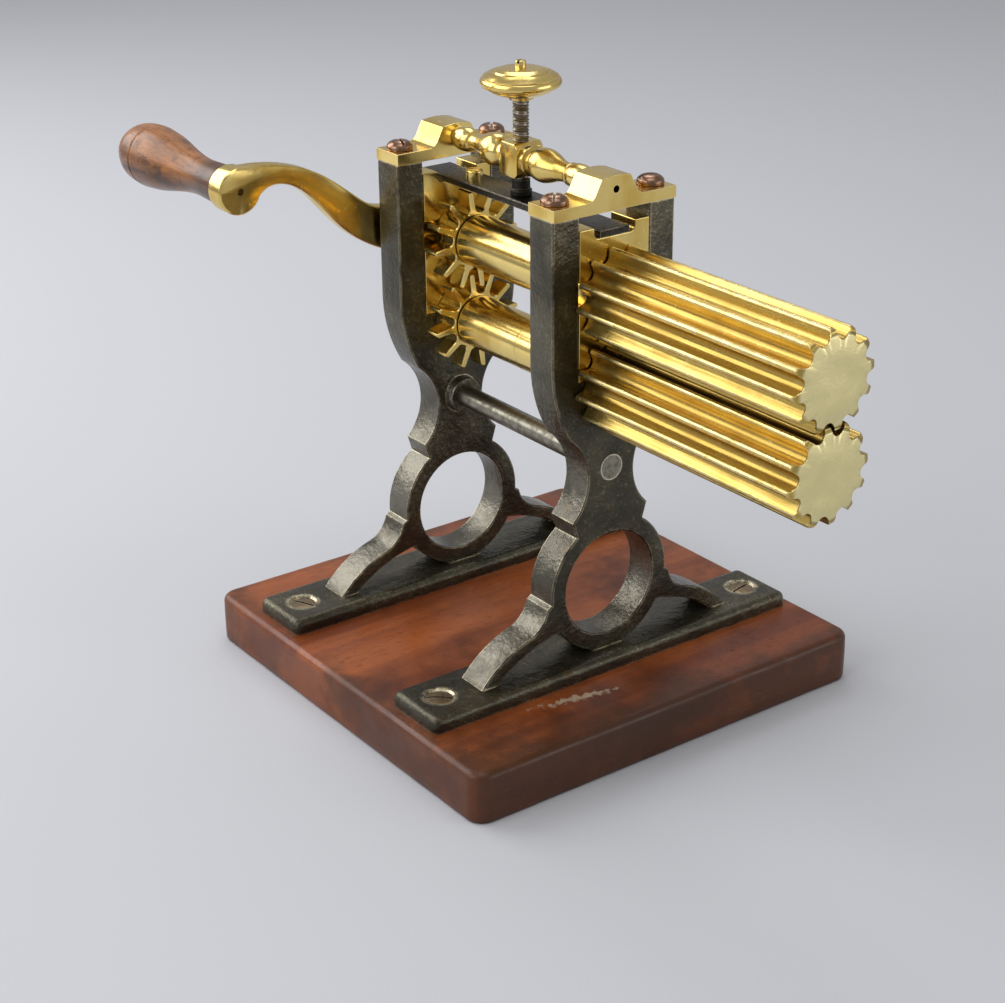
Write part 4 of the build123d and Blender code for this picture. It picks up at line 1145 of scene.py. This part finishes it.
class CrimperWood(bpy.types.PropertyGroup):
    """Colours of the board and the grip"""

    board_light: bpy.props.FloatVectorProperty(
        name="Board, light", description="Lighter colour of the mahogany board", subtype="COLOR",
        size=3, min=0, max=1, default=(0.360, 0.094, 0.020),
    )
    board_dark: bpy.props.FloatVectorProperty(
        name="Board, dark", description="Darker colour of the mahogany board", subtype="COLOR",
        size=3, min=0, max=1, default=(0.150, 0.032, 0.008),
    )
    grip_light: bpy.props.FloatVectorProperty(
        name="Grip, light", description="Lighter colour of the turned grip", subtype="COLOR",
        size=3, min=0, max=1, default=(0.430, 0.165, 0.044),
    )
    grip_dark: bpy.props.FloatVectorProperty(
        name="Grip, dark", description="Darker colour of the turned grip", subtype="COLOR",
        size=3, min=0, max=1, default=(0.045, 0.016, 0.007),
    )


class CrimperStage(bpy.types.PropertyGroup):
    """Colour of the floor and power of the lamps"""

    floor: bpy.props.FloatVectorProperty(
        name="Floor", description="Colour of the floor", subtype="COLOR",
        size=3, min=0, max=1, default=(0.56, 0.57, 0.60),
    )
    key_power: bpy.props.FloatProperty(
        name="Key light", description="Power of the main lamp, in watts", min=0, max=100, default=11.0,
    )


# ---- operators ----------------------------------------------------------------------------
class CRIMPER_OT_stage(bpy.types.Operator):
    """Adds the floor, the lamps and the camera"""

    bl_idname = "crimper.stage"
    bl_label = "Stage"

    def execute(self, context):
        props = context.scene.crimper_stage
        far = 6000.0
        corners = [(-far, -far, 0), (far, -far, 0), (far, far, 0), (-far, far, 0)]
        floor = mesh_object("floor", corners, [(0, 1, 2, 3)])
        material, tree, shader, coords = new_material("Floor")
        fine = noise_at(tree, coords, 900.0, 3.0)
        base = mixed(tree, fine, paint(props.floor), paint(props.floor, 0.94, 0.94, 0.94))
        tree.links.new(base, shader.inputs["Base Color"])
        shader.inputs["Roughness"].default_value = 0.9
        floor.data.materials.append(material)
        for name, place, wide, tall, share in (
            ("key", (-1.00, -0.56, 0.78), 1.05, 1.0, 1.0),
            ("side", (-0.10, -1.25, 0.75), 1.0, 1.0, 0.62),
            ("top", (0.30, -0.10, 1.60), 1.0, 1.0, 0.40),
            ("fill", (1.15, 0.75, 0.35), 1.0, 0.6, 0.26),
            ("back", (-0.70, 0.52, 1.35), 0.6, 0.6, 0.26),
        ):
            lamp = bpy.data.lights.new(name, "AREA")
            lamp.shape = "RECTANGLE"
            lamp.size = wide
            lamp.size_y = tall
            lamp.energy = props.key_power * share
            holder = new_object(name, lamp)
            holder.location = place
            aim = Vector(LAMP_AIM) - Vector(place)
            holder.rotation_euler = aim.to_track_quat("-Z", "Y").to_euler()
        world = bpy.data.worlds.new("Studio")
        world.use_nodes = True
        sky = world.node_tree.nodes["Background"].inputs
        sky["Color"].default_value = (0.88, 0.88, 0.90, 1.0)
        sky["Strength"].default_value = 0.47
        context.scene.world = world
        eye = bpy.data.cameras.new("camera")
        eye.lens = CAMERA_LENS
        eye.sensor_width = 36.0
        eye.sensor_fit = "HORIZONTAL"
        eye.clip_start = 0.01
        viewer = new_object("camera", eye)
        yaw, pitch, roll = radians(CAMERA_YAW), radians(CAMERA_PITCH), radians(CAMERA_ROLL)
        forward = Vector((cos(yaw) * cos(pitch), sin(yaw) * cos(pitch), -sin(pitch)))
        right = Vector((sin(yaw), -cos(yaw), 0.0))
        down = forward.cross(right)
        right, down = right * cos(roll) + down * sin(roll), down * cos(roll) - right * sin(roll)
        turn = Matrix((right, -down, -forward)).transposed()
        viewer.matrix_world = Matrix.Translation(CAMERA_PLACE) @ turn.to_4x4()
        context.scene.camera = viewer
        context.scene.view_settings.view_transform = "Standard"
        return {"FINISHED"}


class CRIMPER_OT_board(bpy.types.Operator):
    """Makes the worn mahogany board"""

    bl_idname = "crimper.board"
    bl_label = "Board"

    def execute(self, context):
        outline = board_outline()
        levels = board_levels()
        verts = [worn_point(point, inset, z) for inset, z in levels for point in outline]
        count = len(outline)
        faces = []
        for a in range(0, count * (len(levels) - 1), count):
            for i in range(count):
                j = (i + 1) % count
                faces.append((a + i, a + j, a + count + j, a + count + i))
        top = count * (len(levels) - 1)
        faces.append(tuple(range(count))[::-1])
        faces.append(tuple(range(top, top + count)))
        board = outward(mesh_object("mahogany_board", verts, faces), 50.0)
        settle(board, mahogany(), "stand", "mahogany", "base_board")
        return {"FINISHED"}


class CRIMPER_OT_frames(bpy.types.Operator):
    """Makes the two castings and finishes the stay rod between them"""

    bl_idname = "crimper.frames"
    bl_label = "Cast frames"

    def execute(self, context):
        ease = context.scene.crimper_iron.ease
        for node in ("rear_frame", "front_frame"):
            casting = eased_copy(node, node.replace("frame", "casting"), ease, 3)
            settle(casting, black_iron(), "stand", "black_iron", node)
        worn = plain_metal("Rubbed iron", (0.30, 0.28, 0.22), (0.70, 0.64, 0.50), 0.30, 420.0, 0.9)
        coat(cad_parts["stay_rod"].data, worn)
        return {"FINISHED"}


class CRIMPER_OT_rollers(bpy.types.Operator):
    """Makes the two fluted rollers with their journals and gears"""

    bl_idname = "crimper.rollers"
    bl_label = "Rollers and gears"

    def execute(self, context):
        flutes = tooth_section(tip_r=18.0, root_r=13.6, tip_half=1.2, root_half=1.7, root_fillet=1.6)
        shine = brass("Fluted brass", True)
        for name, node, body, axis_z, tail, seam in (
            ("upper_fluted_roller", "upper_roller", "upper_roller_set", UPPER_Z, UPPER_TAIL, []),
            ("lower_fluted_roller", "lower_roller", "lower_roller_set", LOWER_Z, LOWER_TAIL, LOWER_SEAM),
        ):
            roller = toothed_shaft(name, flutes, roller_stations(tail, seam), axis_z, shine, 32.0)
            settle(roller, shine, body, "polished_brass", node)
        teeth = tooth_section(tip_r=19.2, root_r=10.9, tip_half=1.0, root_half=1.2, root_fillet=2.2)
        gold = brass()
        for name, node, body, axis_z in (
            ("upper_star_gear", "upper_gear", "upper_roller_set", UPPER_Z),
            ("lower_star_gear", "lower_gear", "lower_roller_set", LOWER_Z),
        ):
            gear = toothed_shaft(name, teeth, gear_stations(), axis_z, gold, 20.0)
            settle(gear, gold, body, "polished_brass", node)
        return {"FINISHED"}


class CRIMPER_OT_bearings(bpy.types.Operator):
    """Eases the caps, saddles and middle blocks and dresses the spring"""

    bl_idname = "crimper.bearings"
    bl_label = "Caps and bearings"

    def execute(self, context):
        gold = brass()
        for node, width, body in (
            ("rear_cap", 0.5, "stand"),
            ("front_cap", 0.5, "stand"),
            ("rear_middle_block", 0.3, "stand"),
            ("front_middle_block", 0.3, "stand"),
            ("rear_saddle", 0.3, "upper_bearings"),
            ("front_saddle", 0.3, "upper_bearings"),
        ):
            piece = eased_copy(node, "brass_" + node, width)
            settle(piece, gold, body, "polished_brass", node)
        blued = plain_metal("Blued spring steel", (0.070, 0.062, 0.052), (0.48, 0.42, 0.31), 0.26)
        spring = eased_copy("leaf_spring", "blued_leaf_spring", 0.3)
        settle(spring, blued, "upper_bearings", "spring_steel", "leaf_spring")
        return {"FINISHED"}


class CRIMPER_OT_screws(bpy.types.Operator):
    """Sets the slotted screws in the caps and the feet"""

    bl_idname = "crimper.screws"
    bl_label = "Screws"

    def execute(self, context):
        bronzed = plain_metal("Bronzed screws", (0.33, 0.19, 0.125), (0.70, 0.50, 0.36), 0.18)
        dome = [(-6.0, 0.0), (-6.0, 2.6), (0.0, 2.6), (0.0, 4.7), (0.25, 4.95), (0.9, 5.0)]
        dome += [(0.9 + 2.7 * sin(a), 5.0 * cos(a) ** 0.8) for a in (0.25, 0.5, 0.75, 1.0, 1.2, 1.4, 1.5)]
        dome += [(3.6, 0.0)]
        head = slotted_head("cap_screw_head", dome, 1.5)
        turns = (166, 144, 140, 70)
        screws = corner_screws("round_cap_screws", head, CAP_SCREW_Y, CAP_SCREW_Z, turns, bronzed)
        settle(screws, bronzed, "stand", "bronzed_screws", "cap_screws")
        rubbed = plain_metal("Rubbed foot screws", (0.34, 0.25, 0.155), (0.78, 0.66, 0.44), 0.24)
        sunk = [(-12.0, 0.0), (-12.0, 2.4), (-2.8, 2.4), (0.0, 5.1), (0.15, 5.0), (0.35, 4.0), (0.5, 2.0)]
        sunk += [(0.55, 0.0)]
        head = slotted_head("foot_screw_head", sunk, 1.3)
        turns = (25, 160, 50, 100)
        screws = corner_screws("sunk_foot_screws", head, FOOT_SCREW_Y, FOOT_SCREW_Z, turns, rubbed)
        settle(screws, rubbed, "stand", "dark_steel", "foot_screws")
        return {"FINISHED"}


class CRIMPER_OT_adjuster(bpy.types.Operator):
    """Makes the cross bar, the pressure screw with its thread, the handwheel and the pad"""

    bl_idname = "crimper.adjuster"
    bl_label = "Pressure screw"

    def execute(self, context):
        gold = brass()
        side = [(5.3, 5.2), (5.4, 5.5), (7.4, 5.6), (7.7, 5.35), (8.2, 4.35)]
        side += smooth_curve(
            [(9.6, 4.35), (10.4, 5.2), (12.4, 6.0), (15.6, 6.2), (19.4, 5.3), (23.6, 3.95), (28.6, 3.3)], 6
        )
        side += [(29.2, 4.0), (29.8, 4.15), (30.2, 3.9)]
        side += smooth_curve([(30.4, 3.95), (32.2, 4.5), (34.8, 4.6), (37.6, 4.2), (40.0, 3.35)], 5)
        side += [(40.0, 2.95), (45.7, 2.95), (45.7, 0.0)]
        profile = [(-x, radius) for x, radius in reversed(side)] + side
        turned_bar = outward(turned("bar", profile, "X", (FRAME_MID_X, 0, BAR_Z)), 32.0)
        bar = shade(join("turned_cross_bar", turned_bar, bar_block()), 30.0)
        settle(bar, gold, "stand", "polished_brass", "cross_bar")
        steel = dark_steel()
        shank = [(190.3, 0.0), (190.3, 2.0), (190.8, 2.5), (234.0, 2.5), (234.0, 0.0)]
        core = turned("pressure_screw_thread", shank, "Z", (FRAME_MID_X, 0, 0), 48)
        run_tree(
            core,
            tree_named("Thread on a shank", thread_tree),
            Turns=24.0,
            Pitch=1.27 * MM,
            Crest_radius=3.08 * MM,
            Depth=0.62 * MM,
            Foot=(FRAME_MID_X * MM, 0.0, 193.5 * MM),
            Material=steel,
        )
        outward(core, 30.0)
        settle(core, steel, "screw_set", "dark_steel", "pressure_screw")
        wheel = [(0.0, 0.0), (0.0, 4.6), (0.8, 5.0)]
        wheel += smooth_curve([(0.8, 5.0), (1.9, 8.6), (2.8, 10.9), (3.7, 12.2)], 5)
        wheel += [(3.9, 12.3), (4.1, 13.0)]
        wheel += smooth_curve([(4.1, 13.0), (4.8, 14.3), (6.0, 14.75), (7.1, 14.5), (7.5, 14.2)], 4)
        wheel += [(7.7, 13.7), (8.2, 13.8)]
        wheel += smooth_curve([(8.2, 13.8), (9.1, 12.4), (9.8, 11.0)], 4)
        wheel += [(9.75, 10.5), (9.5, 10.2), (9.75, 9.9), (10.15, 9.6)]
        wheel += smooth_curve([(10.15, 9.6), (10.9, 7.6), (11.15, 5.4), (11.3, 3.6)], 4)
        wheel += [(11.4, 2.0), (11.4, 0.0)]
        disc = outward(turned("turned_handwheel", wheel, "Z", (FRAME_MID_X, 0, WHEEL_Z), 128), 30.0)
        settle(disc, gold, "screw_set", "polished_brass", "handwheel")
        foot = [(188.66, 0.0), (188.66, 3.7), (189.0, 4.0), (190.6, 4.0), (191.2, 3.4), (194.64, 3.3)]
        foot += [(194.64, 3.16), (190.28, 3.16), (190.28, 0.0)]
        pad = outward(turned("steel_pressure_pad", foot, "Z", (FRAME_MID_X, 0, 0), 64), 30.0)
        # Painted shade: the pad is dark steel, made near black for the deep shade under the bearing block.
        black = plain_metal("Blackened steel", (0.035, 0.032, 0.028), (0.16, 0.14, 0.11), 0.40)
        settle(pad, black, "upper_bearings", "dark_steel", "pressure_pad")
        return {"FINISHED"}


class CRIMPER_OT_crank(bpy.types.Operator):
    """Makes the crank arm, its nut and the turned grip"""

    bl_idname = "crimper.crank"
    bl_label = "Crank"

    def execute(self, context):
        arm = eased_copy("crank_arm", "swept_crank_arm", 0.5)
        face_x = max(vertex.co.x for vertex in arm.data.vertices) / MM
        dimple = [(-2.4, 0.0), (-2.4, 1.2), (0.6, 1.35), (0.6, 0.0)]
        drill = outward(turned("drill", dimple, "X", (face_x, CRANK_Y, CRANK_Z), 32))
        cut_away(arm, drill, FINE_ANGLE)
        settle(arm, brass(), "upper_roller_set", "polished_brass", "crank_arm")
        steel = dark_steel()
        nut = eased_copy("crank_nut", "hex_crank_nut", 0.2)
        settle(nut, steel, "upper_roller_set", "dark_steel", "crank_nut")
        end = -GRIP_LENGTH
        groove = 0.77 * end
        profile = [(0.0, 3.1), (0.0, 7.2), (-0.4, 7.6)]
        profile += smooth_curve(
            [
                (-0.4, 7.6), (-8.0, 7.3), (0.25 * end, 7.0), (0.38 * end, 7.8),
                (0.50 * end, 9.3), (0.63 * end, 11.1), (groove + 0.6, 12.05),
            ],
            5,
        )
        profile += [(groove, 11.75), (groove - 0.5, 11.75), (groove - 0.9, 12.05)]
        profile += smooth_curve(
            [(groove - 1.2, 12.05), (0.88 * end, 11.4), (end + 3.2, 9.3), (end + 0.7, 7.4), (end, 6.4)], 5
        )
        profile += [(end, 5.1), (end + 2.6, 5.06), (end + 2.6, 3.1)]
        grip = outward(turned("turned_grip", profile, "X", (GRIP_START_X, CRANK_Y, CRANK_Z)), 40.0)
        settle(grip, turned_hardwood(), "handle", "turned_wood", "handle_grip")
        return {"FINISHED"}


class CRIMPER_OT_dress(bpy.types.Operator):
    """Gives the solids that keep their shape a finish"""

    bl_idname = "crimper.dress"
    bl_label = "Small parts"

    def execute(self, context):
        steel = dark_steel()
        for node, material in (
            ("wheel_nub", brass()),
            ("spring_screw", brass()),
            ("upper_gear_pin", steel),
            ("lower_gear_pin", steel),
            ("handle_spindle", steel),
        ):
            coat(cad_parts[node].data, material)
        return {"FINISHED"}


class CRIMPER_PT_panel(bpy.types.Panel):
    """Lists the crimper's pieces"""

    bl_idname = "CRIMPER_PT_panel"
    bl_label = "Paper crimper"
    bl_space_type = "VIEW_3D"
    bl_region_type = "UI"
    bl_category = "Crimper"

    def draw(self, context):
        for group in ("crimper_iron", "crimper_brass", "crimper_wood", "crimper_stage"):
            props = getattr(context.scene, group)
            for key in props.__annotations__:
                self.layout.prop(props, key)
        for operator in STEPS:
            self.layout.operator(operator.bl_idname)


STEPS = (
    CRIMPER_OT_stage,
    CRIMPER_OT_board,
    CRIMPER_OT_frames,
    CRIMPER_OT_rollers,
    CRIMPER_OT_bearings,
    CRIMPER_OT_screws,
    CRIMPER_OT_adjuster,
    CRIMPER_OT_crank,
    CRIMPER_OT_dress,
)
GROUPS = {
    "crimper_iron": CrimperIron,
    "crimper_brass": CrimperBrass,
    "crimper_wood": CrimperWood,
    "crimper_stage": CrimperStage,
}


def register():
    """Registers the property groups, the operators and the panel."""
    for group, kind in GROUPS.items():
        bpy.utils.register_class(kind)
        setattr(bpy.types.Scene, group, bpy.props.PointerProperty(type=kind))
    for operator in STEPS:
        bpy.utils.register_class(operator)
    bpy.utils.register_class(CRIMPER_PT_panel)


def unregister():
    """Undoes register."""
    bpy.utils.unregister_class(CRIMPER_PT_panel)
    for operator in reversed(STEPS):
        bpy.utils.unregister_class(operator)
    for group, kind in GROUPS.items():
        delattr(bpy.types.Scene, group)
        bpy.utils.unregister_class(kind)


def main():
    """Makes every piece in order."""
    register()
    for operator in STEPS:
        area, step = operator.bl_idname.split(".")
        getattr(getattr(bpy.ops, area), step)()


if __name__ == "__main__":
    main()
